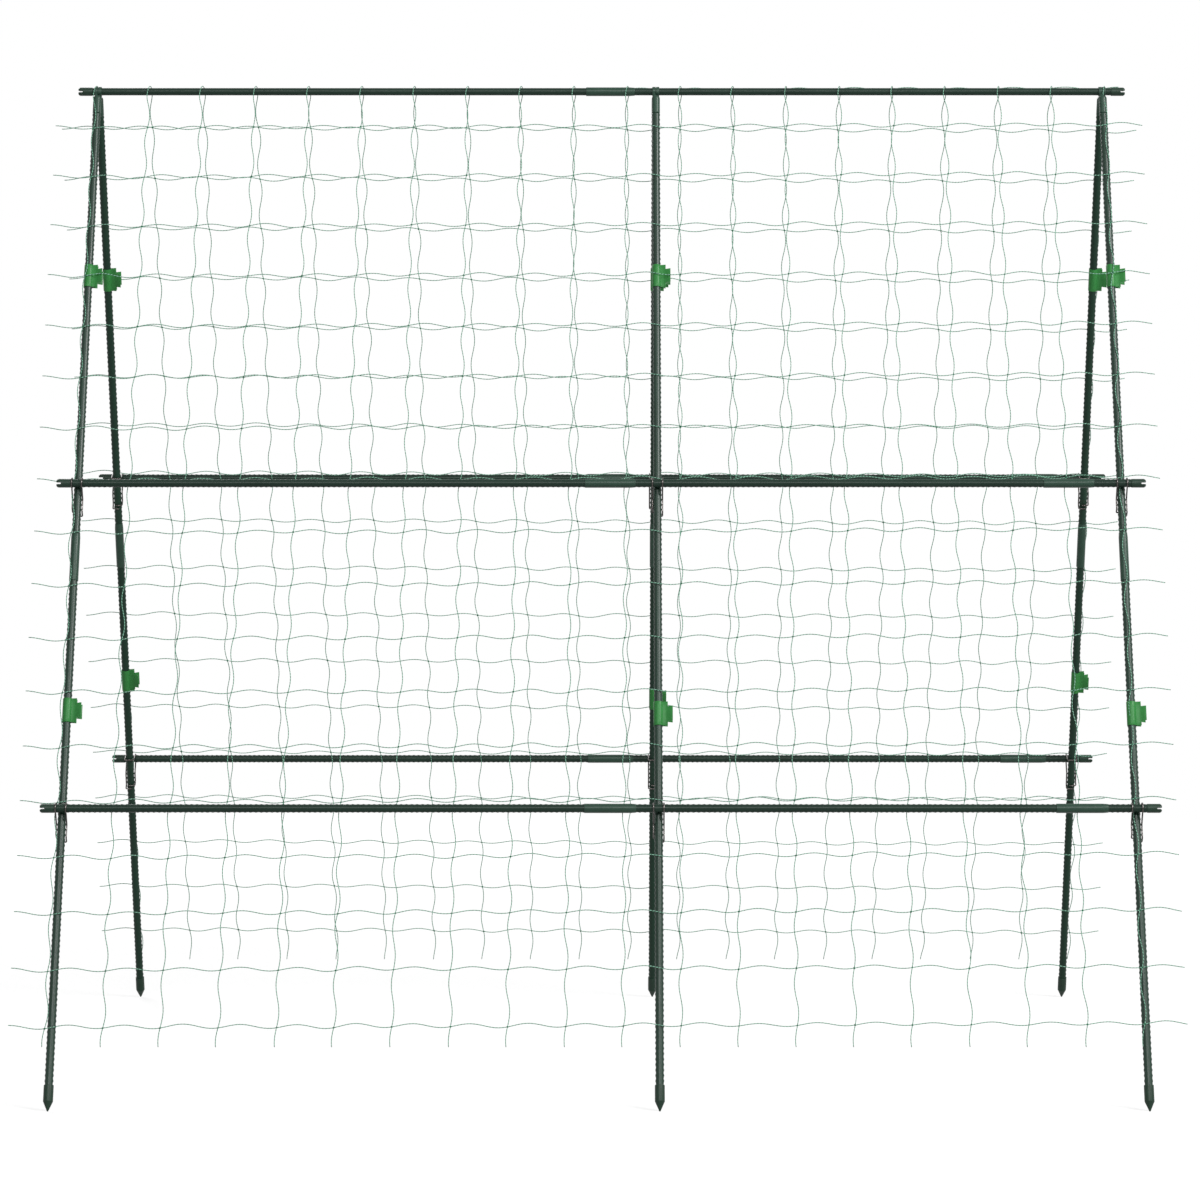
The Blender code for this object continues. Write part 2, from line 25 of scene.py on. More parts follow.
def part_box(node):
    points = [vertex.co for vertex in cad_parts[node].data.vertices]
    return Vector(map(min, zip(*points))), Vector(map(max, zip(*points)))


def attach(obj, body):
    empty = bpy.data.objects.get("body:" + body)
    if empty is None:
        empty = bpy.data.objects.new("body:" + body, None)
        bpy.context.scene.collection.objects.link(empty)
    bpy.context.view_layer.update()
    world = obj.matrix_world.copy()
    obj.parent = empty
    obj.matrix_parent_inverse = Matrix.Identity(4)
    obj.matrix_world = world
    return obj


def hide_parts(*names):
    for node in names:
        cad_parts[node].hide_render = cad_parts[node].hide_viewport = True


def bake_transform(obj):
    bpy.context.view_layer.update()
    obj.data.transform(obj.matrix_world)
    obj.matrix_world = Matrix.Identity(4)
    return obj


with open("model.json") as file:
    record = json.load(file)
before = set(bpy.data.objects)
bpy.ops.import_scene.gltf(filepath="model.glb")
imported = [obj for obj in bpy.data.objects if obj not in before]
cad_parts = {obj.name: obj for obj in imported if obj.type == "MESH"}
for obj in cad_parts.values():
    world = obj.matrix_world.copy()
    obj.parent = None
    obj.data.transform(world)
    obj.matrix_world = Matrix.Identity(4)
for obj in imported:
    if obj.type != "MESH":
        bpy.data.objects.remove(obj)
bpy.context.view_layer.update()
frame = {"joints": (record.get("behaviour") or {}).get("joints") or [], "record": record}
STRING_UV = "string"
SHARP = math.radians(38)  # edges with a wider angle stay sharp
CORE = 0.0002  # radius at which a turned solid ends on its axis
MERGE = 0.000001  # points closer than this become one
RIM_STEPS = 3  # on the rounding of a turned solid's edge
CURVE_PART = 2.1  # a corner's curve takes at most a stretch of the path divided by this
MIX_INPUTS = (0, 6, 7)  # a Mix node's inputs for colours: the share, the first and the second
MIX_OUTPUT = 2
logger = logging.getLogger("trellis")

Colour = tuple[float, float, float]
Place = tuple[float, float, float]
Span = tuple[float, float]


class Side(Enum):
    """The trellis's two sides, each one body of the frame."""

    FRONT = -1
    BACK = 1

    @property
    def word(self) -> str:
        """The side's name as the frame's nodes use it."""
        return self.name.lower()

    @property
    def body(self) -> str:
        """The body that this side's pieces ride on."""
        return f"{self.word}_side"

    @property
    def turn(self) -> Matrix:
        """Turns a piece's own front outwards: half round on the back side."""
        return Matrix.Rotation(math.pi if self is Side.BACK else 0.0, 4, "Z")


class Station(Enum):
    """The three A-frames along the bars."""

    LEFT = "left"
    MIDDLE = "middle"
    RIGHT = "right"


class Level(Enum):
    """Heights at which a side has its bars and its snap clips."""

    UPPER = "upper"
    MIDDLE = "middle"
    LOWER = "lower"


BAR_LEVELS = (Level.MIDDLE, Level.LOWER)
CLIP_LEVELS = (Level.UPPER, Level.LOWER)


class Slot(Enum):
    """The record's material slots."""

    COAT = "coated_steel"
    MOULDING = "dark_plastic"
    WIRE = "spring_wire"
    CLIP = "clip_plastic"
    STRING = "net_string"


def node_box(node: str) -> tuple[Vector, Vector]:
    """The lowest and highest corners of a frame node."""
    low, high = (Vector(corner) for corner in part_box(node))
    return low, high


@dataclass(frozen=True)
class Layout:
    """Where legs and bars run, read from the frame."""

    pivot: Vector  # on the top bar's axis, halfway along the frame
    slant: float  # each side's lean from upright, in radians
    stations: dict[Station, float]  # X of each A-frame
    leg_out: float = 0.0079  # a leg's axis outside the hinge's plane

    @classmethod
    def from_frame(cls) -> Layout:
        """Reads the hinge and the feet.

        Returns:
            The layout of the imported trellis.
        """
        pivot = Vector(frame["joints"][0]["pos_m"])
        feet = {mount["name"]: Vector(mount["pos_m"]) for mount in frame["record"]["mounts"]}
        stations = {station: feet[f"foot_front_{station.value}"].x for station in Station}
        foot = feet["foot_back_left"]
        reach = math.hypot(foot.y, pivot.z)
        slant = math.atan2(foot.y, pivot.z) - math.asin(cls.leg_out / reach)
        return cls(pivot, slant, stations)

    def side_space(self, side: Side) -> Matrix:
        """Matrix from a side's own axes, with Z up its legs and the hinge at Z = 0."""
        return Matrix.Translation(self.pivot) @ Matrix.Rotation(side.value * self.slant, 4, "X")

    def point(self, side: Side, x: float, down: float, out: float) -> Vector:
        """A point given by its place along the bars, down the leg and out from the hinge's plane."""
        return self.side_space(side) @ Vector((x, side.value * out, -down))

    def place(self, side: Side, station: Station, down: float = 0.0, out: float | None = None) -> Matrix:
        """Matrix of a piece on a leg, its axes parallel to the side's.

        Args:
            side: The side that the leg is on.
            station: The A-frame that it is in.
            down: Distance down the leg.
            out: Distance outside the hinge's plane; the leg's axis if left out.

        Returns:
            The piece's matrix in the frame's axes.
        """
        out = self.leg_out if out is None else out
        spot = Matrix.Translation((self.stations[station], side.value * out, -down))
        return self.side_space(side) @ spot

    def middle_of(self, side: Side, node: str) -> Vector:
        """The middle of a frame node's box in a side's own axes."""
        low, high = node_box(node)
        return self.side_space(side).inverted() @ ((low + high) / 2)


Socket = bpy.types.NodeSocket


@dataclass(frozen=True)
class Noise:
    """The grain of a noise."""

    scale: float
    detail: float = 3.0  # finer layers on top of it
    stretch: Place = (1.0, 1.0, 1.0)  # of the piece's own coordinates


class NodeSheet:
    """A material's node tree, with short calls for the nodes that the finishes share."""

    def __init__(self, name: str) -> None:
        """Starts a material with an empty tree but for its shader.

        Args:
            name: The material's name.
        """
        self.material = bpy.data.materials.new(name)
        self.material.use_nodes = True
        self.tree = self.material.node_tree
        self.shader = self.tree.nodes["Principled BSDF"]

    def node(self, kind: str, **settings: object) -> bpy.types.Node:
        """Adds a node.

        Args:
            kind: Its type's name, without the words that all shader nodes begin with.
            settings: Its properties.

        Returns:
            The node.
        """
        added = self.tree.nodes.new(f"ShaderNode{kind}")
        for key, value in settings.items():
            setattr(added, key, value)
        return added

    def feed(self, source: Socket | float | Sequence[float], target: Socket) -> None:
        """Gives an input its value.

        Args:
            source: The output to link to it, or a plain value.
            target: The input.
        """
        if isinstance(source, Socket):
            self.tree.links.new(source, target)
        else:
            target.default_value = source

    def dress(self, **values: Socket | float | Sequence[float]) -> None:
        """Feeds the shader's inputs.

        Args:
            values: A source for each input, by its name in small letters with low lines for spaces.
        """
        inputs = {socket.name.lower().replace(" ", "_"): socket for socket in self.shader.inputs}
        for key, source in values.items():
            self.feed(source, inputs[key])

    def object_space(self) -> Socket:
        """The piece's own coordinates."""
        return self.node("TexCoord").outputs["Object"]

    def noise(self, grain: Noise) -> Socket:
        """Adds a noise.

        Args:
            grain: Its sizes.

        Returns:
            The noise, from 0 to 1.
        """
        mapping = self.node("Mapping")
        self.feed(grain.stretch, mapping.inputs["Scale"])
        self.feed(self.object_space(), mapping.inputs["Vector"])
        added = self.node("TexNoise")
        settings = (("Vector", mapping.outputs["Vector"]), ("Scale", grain.scale), ("Detail", grain.detail))
        for key, source in settings:
            self.feed(source, added.inputs[key])
        return added.outputs["Fac"]

    def spread(self, value: Socket, low: float, high: float, start: float = 0.3, end: float = 0.7) -> Socket:
        """Maps one range of a value to another.

        Args:
            value: The value.
            low: What start becomes.
            high: What end becomes.
            start: Lower end of the range.
            end: Upper end of the range.

        Returns:
            The mapped value.
        """
        added = self.node("MapRange")
        limits = (("From Min", start), ("From Max", end), ("To Min", low), ("To Max", high))
        for key, source in (*limits, ("Value", value)):
            self.feed(source, added.inputs[key])
        return added.outputs["Result"]

    def calculate(self, operation: str, *terms: Socket | float) -> Socket:
        """One Math node.

        Args:
            operation: What it does.
            terms: What it does it to.

        Returns:
            The result.
        """
        added = self.node("Math", operation=operation)
        for target, term in zip(added.inputs, terms):
            self.feed(term, target)
        return added.outputs[0]

    def weighed(self, *parts: tuple[Socket, float]) -> Socket:
        """The sum of two values, each times its weight."""
        return self.calculate("ADD", *(self.calculate("MULTIPLY", value, weight) for value, weight in parts))

    def ramp(self, value: Socket, span: Span, low: Colour, high: Colour) -> Socket:
        """A colour ramp.

        Args:
            value: What drives it.
            span: Where it starts and where it ends.
            low: Linear colour at its start.
            high: Linear colour at its end.

        Returns:
            The colour.
        """
        added = self.node("ValToRGB")
        for element, place, colour in zip(added.color_ramp.elements, span, (low, high)):
            element.position = place
            element.color = (*colour, 1.0)
        self.feed(value, added.inputs["Fac"])
        return added.outputs["Color"]

    def blend(self, amount: Socket | float, first: Socket, second: Socket | Sequence[float],
              mode: str = "MIX") -> Socket:
        """Mixes two colours.

        Args:
            amount: Share of the second.
            first: The first colour.
            second: The second, linear.
            mode: How they mix.

        Returns:
            The mixed colour.
        """
        added = self.node("Mix", data_type="RGBA", blend_type=mode)
        for number, source in zip(MIX_INPUTS, (amount, first, second)):
            self.feed(source, added.inputs[number])
        return added.outputs[MIX_OUTPUT]

    def bump(self, height: Socket, size: Span, under: Socket | None = None) -> Socket:
        """Bump from a height.

        Args:
            height: The height, from 0 to 1.
            size: The bump's strength and its depth.
            under: Another bump that lies under it.

        Returns:
            The normal.
        """
        added = self.node("Bump")
        strength, distance = size
        for key, source in (("Strength", strength), ("Distance", distance), ("Height", height)):
            self.feed(source, added.inputs[key])
        if under is not None:
            self.feed(under, added.inputs["Normal"])
        return added.outputs["Normal"]

    def from_axis(self) -> Socket:
        """Finds how far each point is from the piece's own Z axis.

        Returns:
            The distance.
        """
        parts = self.node("SeparateXYZ")
        self.feed(self.object_space(), parts.inputs[0])
        squares = [self.calculate("MULTIPLY", part, part) for part in parts.outputs[:2]]
        return self.calculate("SQRT", self.calculate("ADD", *squares))


def shade(colour: Colour, factor: float) -> Colour:
    """A colour made lighter or darker."""
    return tuple(part * factor for part in colour)


@dataclass(frozen=True)
class StakeCoat:
    """Extruded plastic coat on the steel stakes: faint drag lines, scuffed knob crests."""

    name: str
    colour: Colour
    crest: Colour  # of the rubbed knobs
    specular: float
    roughness: Span = (0.33, 0.41)
    rubbed_from: Span = (0.0073, 0.0079)  # radii where the rubbing starts and is full
    rubbing: float = 0.8
    lines: Noise = Noise(900.0, 2.0, (1.0, 1.0, 0.02))
    line_span: Span = (0.35, 0.65)
    line_tone: Colour = (0.90, 0.90, 0.90)
    line_bump: Span = (0.25, 0.00006)
    clouds: Noise = Noise(28.0, stretch=(1.0, 1.0, 0.25))
    cloud_span: Span = (0.3, 0.7)
    cloud_shades: Span = (0.86, 1.14)
    grain: Noise = Noise(1400.0, 2.0)
    grain_bump: Span = (0.12, 0.00005)

    def material(self) -> bpy.types.Material:
        """Builds the coat's nodes.

        Returns:
            The coat's material.
        """
        sheet = NodeSheet(self.name)
        lines = sheet.noise(self.lines)
        clouds = sheet.noise(self.clouds)
        dark, light = (shade(self.colour, factor) for factor in self.cloud_shades)
        tone = sheet.ramp(clouds, self.cloud_span, dark, light)
        streaks = sheet.ramp(lines, self.line_span, self.line_tone, (1.0, 1.0, 1.0))
        base = sheet.blend(1.0, tone, streaks, "MULTIPLY")
        rubbed = sheet.spread(sheet.from_axis(), 0.0, self.rubbing, *self.rubbed_from)
        drag = sheet.bump(lines, self.line_bump)
        grain = sheet.noise(self.grain)
        sheet.dress(
            base_color=sheet.blend(rubbed, base, (*self.crest, 1.0)),
            roughness=sheet.spread(clouds, *self.roughness),
            specular_ior_level=self.specular,
            normal=sheet.bump(grain, self.grain_bump, drag),
        )
        return sheet.material


@dataclass(frozen=True)
class Moulding:
    """Injection-moulded plastic: soft clouding, fine grain and a little gloss."""

    name: str
    colour: Colour
    deep: Colour  # of the darker clouds
    roughness: Span
    specular: float
    clouds: Noise = Noise(120.0, stretch=(1.0, 1.0, 0.5))
    cloud_weight: float = 0.65
    cloud_bump: Span = (0.10, 0.0003)
    flow: Noise = Noise(420.0, 4.0, (1.0, 1.0, 0.15))
    flow_weight: float = 0.35
    span: Span = (0.34, 0.62)
    grain: Noise = Noise(1600.0, 2.0)
    grain_bump: Span = (0.15, 0.00005)

    def material(self) -> bpy.types.Material:
        """Builds the moulding's nodes.

        Returns:
            The moulding's material.
        """
        sheet = NodeSheet(self.name)
        clouds = sheet.noise(self.clouds)
        flow = sheet.noise(self.flow)
        mixed = sheet.weighed((clouds, self.cloud_weight), (flow, self.flow_weight))
        soft = sheet.bump(clouds, self.cloud_bump)
        grain = sheet.noise(self.grain)
        sheet.dress(
            base_color=sheet.ramp(mixed, self.span, self.deep, self.colour),
            roughness=sheet.spread(flow, *self.roughness),
            specular_ior_level=self.specular,
            normal=sheet.bump(grain, self.grain_bump, soft),
        )
        return sheet.material


@dataclass(frozen=True)
class DrawnWire:
    """Drawn steel wire with a warm grey skin and small stains."""

    clean: Colour = (0.098, 0.092, 0.088)
    stained: Colour = (0.042, 0.038, 0.036)
    roughness: Span = (0.36, 0.22)  # stained, clean
    stains: Noise = Noise(260.0, 5.0)
    stain_span: Span = (0.38, 0.60)
    lines: Noise = Noise(2400.0, 2.0, (1.0, 1.0, 0.05))
    line_bump: Span = (0.2, 0.00003)

    def material(self) -> bpy.types.Material:
        """Builds the wire's nodes.

        Returns:
            The wire's material.
        """
        sheet = NodeSheet("drawn_wire")
        stains = sheet.noise(self.stains)
        lines = sheet.noise(self.lines)
        sheet.dress(
            base_color=sheet.ramp(stains, self.stain_span, self.stained, self.clean),
            roughness=sheet.spread(stains, *self.roughness),
            metallic=1.0,
            normal=sheet.bump(lines, self.line_bump),
        )
        return sheet.material


@dataclass(frozen=True)
class TwistedString:
    """Twisted net string: light plies with painted shade in the grooves between them, fuzzy and matt."""

    light: Colour = (0.140, 0.340, 0.236)  # a ply's crown
    dark: Colour = (0.004, 0.046, 0.021)  # painted shade in the groove between plies
    lay: float = 0.0056  # length of one turn of the twist
    span: Span = (0.36, 0.64)
    crown_weight: float = 0.75
    fuzz_weight: float = 0.35
    fuzz: Noise = Noise(700.0, 4.0)
    roughness: float = 0.78
    sheen: float = 0.25
    sheen_roughness: float = 0.5
    groove_bump: Span = (0.7, 0.0003)

    def material(self) -> bpy.types.Material:
        """Builds the string's nodes on its own UV map, round in U and along in V.

        Returns:
            The string's material.
        """
        sheet = NodeSheet("twisted_string")
        parts = sheet.node("SeparateXYZ")
        sheet.feed(sheet.node("UVMap", uv_map=STRING_UV).outputs["UV"], parts.inputs[0])
        around, along = parts.outputs[0], sheet.calculate("DIVIDE", parts.outputs[1], self.lay)
        ply = sheet.calculate("PINGPONG", sheet.calculate("ADD", around, along), 0.5)
        crown = sheet.calculate("MULTIPLY", ply, 2.0)
        fuzz = sheet.noise(self.fuzz)
        # the twist's painted groove shade, broken up by fuzz
        twist_shade_and_fuzz = sheet.weighed((crown, self.crown_weight), (fuzz, self.fuzz_weight))
        sheet.dress(
            base_color=sheet.ramp(twist_shade_and_fuzz, self.span, self.dark, self.light),
            roughness=self.roughness,
            sheen_weight=self.sheen,
            sheen_roughness=self.sheen_roughness,
            normal=sheet.bump(crown, self.groove_bump),
        )
        return sheet.material


@dataclass(frozen=True)
class Finish:
    """A material and the record's slot that it belongs to."""

    material: bpy.types.Material
    slot: Slot


class Finishes:
    """One finish for each kind of piece, made once and shared."""

    def __init__(self) -> None:
        """Makes every finish."""
        self.stake = self.finish(Slot.COAT, StakeCoat(
            "stake_coat", (0.0075, 0.0240, 0.0150), (0.0105, 0.0290, 0.0185), specular=0.26))
        # painted shade: the bars get a darker, less glossy copy of the stake coat, standing for the shade
        # they show
        self.bar = self.finish(Slot.COAT, StakeCoat(
            "bar_coat", (0.0075, 0.0205, 0.0135), (0.0102, 0.0250, 0.0167), specular=0.15))
        # painted shade: the back legs get a darker, less glossy copy of the same stake coat
        self.back_stake = self.finish(Slot.COAT, StakeCoat(
            "back_coat", (0.0068, 0.0235, 0.0140), (0.0095, 0.0280, 0.0170), specular=0.15))
        self.joiner = self.finish(Slot.COAT, Moulding(
            "joiner_moulding", (0.0145, 0.0395, 0.0262), (0.0115, 0.0325, 0.0205),
            roughness=(0.33, 0.42), specular=0.22))
        self.cap = self.finish(Slot.MOULDING, Moulding(
            "cap_moulding", (0.017, 0.043, 0.029), (0.013, 0.035, 0.023),
            roughness=(0.33, 0.43), specular=0.22))
        self.tip = self.finish(Slot.MOULDING, Moulding(
            "tip_moulding", (0.009, 0.026, 0.016), (0.007, 0.020, 0.012),
            roughness=(0.36, 0.46), specular=0.20))
        self.clip = self.finish(Slot.CLIP, Moulding(
            "clip_moulding", (0.025, 0.153, 0.036), (0.019, 0.128, 0.028),
            roughness=(0.34, 0.42), specular=0.15))
        self.wire = self.finish(Slot.WIRE, DrawnWire())
        self.string = self.finish(Slot.STRING, TwistedString())
        # painted shade: the knots are darker than the string, standing for the shade in their tangled turns
        self.knot = self.finish(Slot.STRING, Moulding(
            "string_knot", (0.018, 0.105, 0.054), (0.010, 0.068, 0.034),
            roughness=(0.75, 0.90), specular=0.20))

    @staticmethod
    def finish(slot: Slot, look: StakeCoat | Moulding | DrawnWire | TwistedString) -> Finish:
        """Makes a look's material and pairs it with its slot."""
        return Finish(look.material(), slot)


def ringed_mesh(name: str, rings: np.ndarray, lengths: np.ndarray | None = None,
                closed: bool = False) -> bpy.types.Mesh:
    """A mesh from rings of points, each ring joined to the next.

    Args:
        name: The mesh's name.
        rings: Points as an array of rings, sides and coordinates.
        lengths: Distance along the piece at each ring, for a UV map.
        closed: Whether the last ring joins the first; otherwise both ends are filled.

    Returns:
        A closed mesh with smooth faces.
    """
    count, sides = rings.shape[:2]
    last = count if closed else count - 1
    ring = np.arange(last)[:, None]
    corner = np.arange(sides)[None, :]
    after = (corner + 1) % sides
    above = (ring + 1) % count
    quads = np.stack([ring * sides + corner, ring * sides + after,
                      above * sides + after, above * sides + corner], -1).reshape(-1, 4)
    faces = quads.tolist()
    if not closed:
        faces += [list(range(sides))[::-1], list(range((count - 1) * sides, count * sides))]
    mesh = bpy.data.meshes.new(name)
    mesh.from_pydata(rings.reshape(-1, 3).tolist(), [], faces)
    mesh.shade_smooth()
    if lengths is not None:
        around = np.stack([corner, corner + 1, corner + 1, corner], -1) / sides
        around = np.broadcast_to(around, (last, sides, 4))
        along = np.stack([lengths[:-1], lengths[:-1], lengths[1:], lengths[1:]], -1)[:, None, :]
        along = np.broadcast_to(along, (last, sides, 4))
        values = np.stack([around, along], -1).reshape(-1, 2)
        values = np.concatenate([values, np.zeros((2 * sides, 2))])
        layer = mesh.uv_layers.new(name=STRING_UV)
        layer.data.foreach_set("uv", values.astype(np.float32).ravel())
    return mesh


def finished(name: str, draft: bmesh.types.BMesh) -> bpy.types.Mesh:
    """Makes a mesh of its draft and frees the draft.

    Args:
        name: The mesh's name.
        draft: The bmesh it is made of.

    Returns:
        The mesh.
    """
    mesh = bpy.data.meshes.new(name)
    draft.to_mesh(mesh)
    draft.free()
    return mesh


def outward(mesh: bpy.types.Mesh) -> bpy.types.Mesh:
    """Turns all faces outwards and marks sharp edges.

    Args:
        mesh: The mesh to change.

    Returns:
        The same mesh.
    """
    draft = bmesh.new()
    draft.from_mesh(mesh)
    bmesh.ops.remove_doubles(draft, verts=draft.verts, dist=MERGE)
    bmesh.ops.recalc_face_normals(draft, faces=draft.faces)
    draft.to_mesh(mesh)
    draft.free()
    mesh.shade_smooth()
    mesh.set_sharp_from_angle(angle=SHARP)
    return mesh


def circle(sides: int) -> np.ndarray:
    """Evenly spaced angles all the way round."""
    return np.linspace(0, 2 * math.pi, sides, endpoint=False)


def eased(corners: Sequence[Sequence[float]], radius: float, steps: int = 5) -> list[Vector]:
    """A path through corners, each rounded by a short curve.

    Args:
        corners: The path's corners, flat or in space.
        radius: How far from a corner the curve starts.
        steps: Points on each curve, less one.

    Returns:
        The rounded path.
    """
    path = [Vector(corner) for corner in corners]
    result = [path[0]]
    for before, corner, after in zip(path, path[1:], path[2:]):
        nearest = min((before - corner).length, (after - corner).length)
        reach = min(radius, nearest / CURVE_PART)
        start = corner + (before - corner).normalized() * reach
        end = corner + (after - corner).normalized() * reach
        for number in range(steps + 1):
            share = number / steps
            pull = 2 * share * (1 - share)
            result.append(start * (1 - share) ** 2 + corner * pull + end * share**2)
    result.append(path[-1])
    return result


def lathe(name: str, outline: Sequence[Span], sides: int, closed: bool = False,
          edge: float = 0.0) -> bpy.types.Mesh:
    """Turns (radius, height) points round Z.

    Args:
        name: The mesh's name.
        outline: Points from one end to the other, or round a loop off the axis.
        sides: Number of sides.
        closed: Whether the outline is a loop.
        edge: How far from a corner of the outline its rounding starts, 0 for none.

    Returns:
        The turned mesh, with its sharp rims kept.
    """
    if edge:
        outline = eased(outline, edge, RIM_STEPS)
    turn = circle(sides)
    radius = np.array([point[0] for point in outline])[:, None]
    height = np.array([point[1] for point in outline])[:, None] + 0 * turn[None, :]
    rings = np.stack([radius * np.cos(turn), radius * np.sin(turn), height], -1)
    return outward(ringed_mesh(name, rings, closed=closed))


def prism(name: str, ends: Sequence[Sequence[Place]]) -> bpy.types.Mesh:
    """A solid between two outlines.

    Args:
        name: The mesh's name.
        ends: Two outlines with the same number of points.

    Returns:
        The closed solid.
    """
    draft = bmesh.new()
    first, second = ([draft.verts.new(point) for point in end] for end in ends)
    draft.faces.new(first)
    draft.faces.new(second)
    for number, corner in enumerate(first):
        after = (number + 1) % len(first)
        draft.faces.new((corner, first[after], second[after], second[number]))
    return outward(finished(name, draft))


def sweep(name: str, path: np.ndarray, radius: float, sides: int, guide: Place) -> bpy.types.Mesh:
    """A closed tube along a path.

    Args:
        name: The mesh's name.
        path: Points of the path.
        radius: The tube's radius.
        sides: Number of sides.
        guide: A direction that the path never follows, to hold the rings steady.

    Returns:
        The tube's mesh with a UV map along it.
    """
    along = np.gradient(path, axis=0)
    along /= np.linalg.norm(along, axis=1, keepdims=True)
    guide_rows = np.broadcast_to(np.asarray(guide, float), path.shape)
    first = guide_rows - along * np.sum(guide_rows * along, 1, keepdims=True)
    first /= np.linalg.norm(first, axis=1, keepdims=True)
    second = np.cross(along, first)
    turn = circle(sides)
    rings = path[:, None, :] + radius * (np.cos(turn)[None, :, None] * first[:, None, :]
                                         + np.sin(turn)[None, :, None] * second[:, None, :])
    steps = np.linalg.norm(np.diff(path, axis=0), axis=1)
    lengths = np.concatenate([[0.0], np.cumsum(steps)])
    return ringed_mesh(name, rings, lengths)


def steady_tube(name: str, path: np.ndarray, radius: float, sides: int) -> bpy.types.Mesh:
    """A tube along any path, its rings carried from point to point without twisting.

    Args:
        name: The mesh's name.
        path: Points of the path.
        radius: The tube's radius.
        sides: Number of sides.

    Returns:
        The tube's mesh.
    """
    along = np.gradient(path, axis=0)
    along /= np.linalg.norm(along, axis=1, keepdims=True)
    across = Vector(along[0]).orthogonal().normalized()
    rings = []
    for point, way in zip(path, along):
        heading = Vector(way)
        across = (across - heading * across.dot(heading)).normalized()
        third = heading.cross(across)
        spokes = [math.cos(turn) * across + math.sin(turn) * third for turn in circle(sides)]
        rings.append([tuple(Vector(point) + radius * spoke) for spoke in spokes])
    return ringed_mesh(name, np.array(rings))


def merged(name: str, meshes: Sequence[bpy.types.Mesh]) -> bpy.types.Mesh:
    """Puts several meshes into one and deletes the originals.

    Args:
        name: The new mesh's name.
        meshes: The meshes.

    Returns:
        The mesh of them all.
    """
    draft = bmesh.new()
    for mesh in meshes:
        draft.from_mesh(mesh)
        bpy.data.meshes.remove(mesh)
    return finished(name, draft)


def linked(name: str, data: bpy.types.ID) -> bpy.types.Object:
    """Makes an object of a mesh, lamp or camera and links it to the scene.

    Args:
        name: The object's name.
        data: What it shows.

    Returns:
        The object.
    """
    thing = bpy.data.objects.new(name, data)
    bpy.context.scene.collection.objects.link(thing)
    return thing


def applied(mesh: bpy.types.Mesh, *settings: tuple[str, dict[str, object]]) -> bpy.types.Mesh:
    """Runs modifiers over a mesh and keeps their result.

    Args:
        mesh: The mesh to change.
        settings: Each modifier's type and properties, in order.

    Returns:
        The changed mesh.
    """
    thing = linked("bench", mesh)
    for kind, properties in settings:
        modifier = thing.modifiers.new(kind.lower(), kind)
        for key, value in properties.items():
            setattr(modifier, key, value)
    bpy.context.view_layer.update()
    graph = bpy.context.evaluated_depsgraph_get()
    result = bpy.data.meshes.new_from_object(thing.evaluated_get(graph))
    result.name = mesh.name
    bpy.data.objects.remove(thing)
    bpy.data.meshes.remove(mesh)
    return result


def fused(mesh: bpy.types.Mesh, voxel: float, smoothing: int = 4) -> bpy.types.Mesh:
    """Melts overlapping shells into one moulded skin with soft fillets.

    Args:
        mesh: Closed shells that overlap.
        voxel: Size of the grid that finds the skin.
        smoothing: Rounds of smoothing.

    Returns:
        One closed smooth mesh.
    """
    result = applied(
        mesh,
        ("REMESH", {"mode": "VOXEL", "voxel_size": voxel, "use_smooth_shade": True}),
        ("SMOOTH", {"factor": 0.5, "iterations": smoothing}),
    )
    result.shade_smooth()
    return result


def dressed(name: str, mesh: bpy.types.Mesh, finish: Finish) -> bpy.types.Object:
    """Makes a piece of a mesh and gives it its finish.

    Args:
        name: The piece's name.
        mesh: Its own mesh.
        finish: Its finish.

    Returns:
        The piece.
    """
    mesh.materials.clear()
    mesh.materials.append(finish.material)
    piece = linked(name, mesh)
    return piece


def seat(name: str, mesh: bpy.types.Mesh, finish: Finish, side: Side, place: Matrix | None = None,
         replaced: Sequence[str] = ()) -> bpy.types.Object:
    """Puts a piece on its body in place of the frame's nodes.

    Args:
        name: The piece's name.
        mesh: Its mesh, which it gets a copy of.
        finish: Its finish.
        side: The side that it rides on.
        place: Its matrix in the frame's axes.
        replaced: The nodes that it stands for.

    Returns:
        The piece.
    """
    piece = dressed(name, mesh.copy(), finish)
    if place is not None:
        piece.matrix_world = place
    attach(piece, side.body)
    if replaced:
        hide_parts(*replaced)
    logger.info("%s: %d faces on %s", name, len(piece.data.polygons), side.body)
    return piece


@dataclass(frozen=True)
class KnobRows:
    """Two rows of low knobs moulded along opposite sides of a stake's coat."""

    valley: float = 0.00690  # the coat's radius between knobs
    crest: float = 0.00790  # and on top of one
    pitch: float = 0.0094  # from knob to knob
    share: float = 0.78  # part of the pitch that a knob takes
    spread: float = math.radians(52)  # half the angle that it takes round the stake
    sides: int = 28
    steps: int = 6  # rings in one pitch

    def tube(self, name: str, top: float, bottom: float) -> bpy.types.Mesh:
        """A coated stake between two distances down from the origin, its knobs towards X.

        Args:
            name: The mesh's name.
            top: Distance of the upper end.
            bottom: Distance of the lower end.

        Returns:
            The stake's mesh.
        """
        rings = max(2, round((bottom - top) / self.pitch * self.steps)) + 1
        down = np.linspace(top, bottom, rings)[:, None]
        turn = circle(self.sides)[None, :]
        phase = (down / self.pitch) % 1.0 - 0.5
        swell = np.where(np.abs(phase) < self.share / 2, np.cos(math.pi * phase / self.share) ** 2, 0.0)
        off = np.arccos(np.clip(np.abs(np.cos(turn)), 0, 1))
        band = np.where(off < self.spread, np.cos(math.pi * off / (2 * self.spread)) ** 2, 0.0)
        radius = self.valley + (self.crest - self.valley) * swell * band
        height = -down + 0 * turn
        points = np.stack([radius * np.cos(turn), radius * np.sin(turn), height], -1)[::-1]
        return ringed_mesh(name, points)


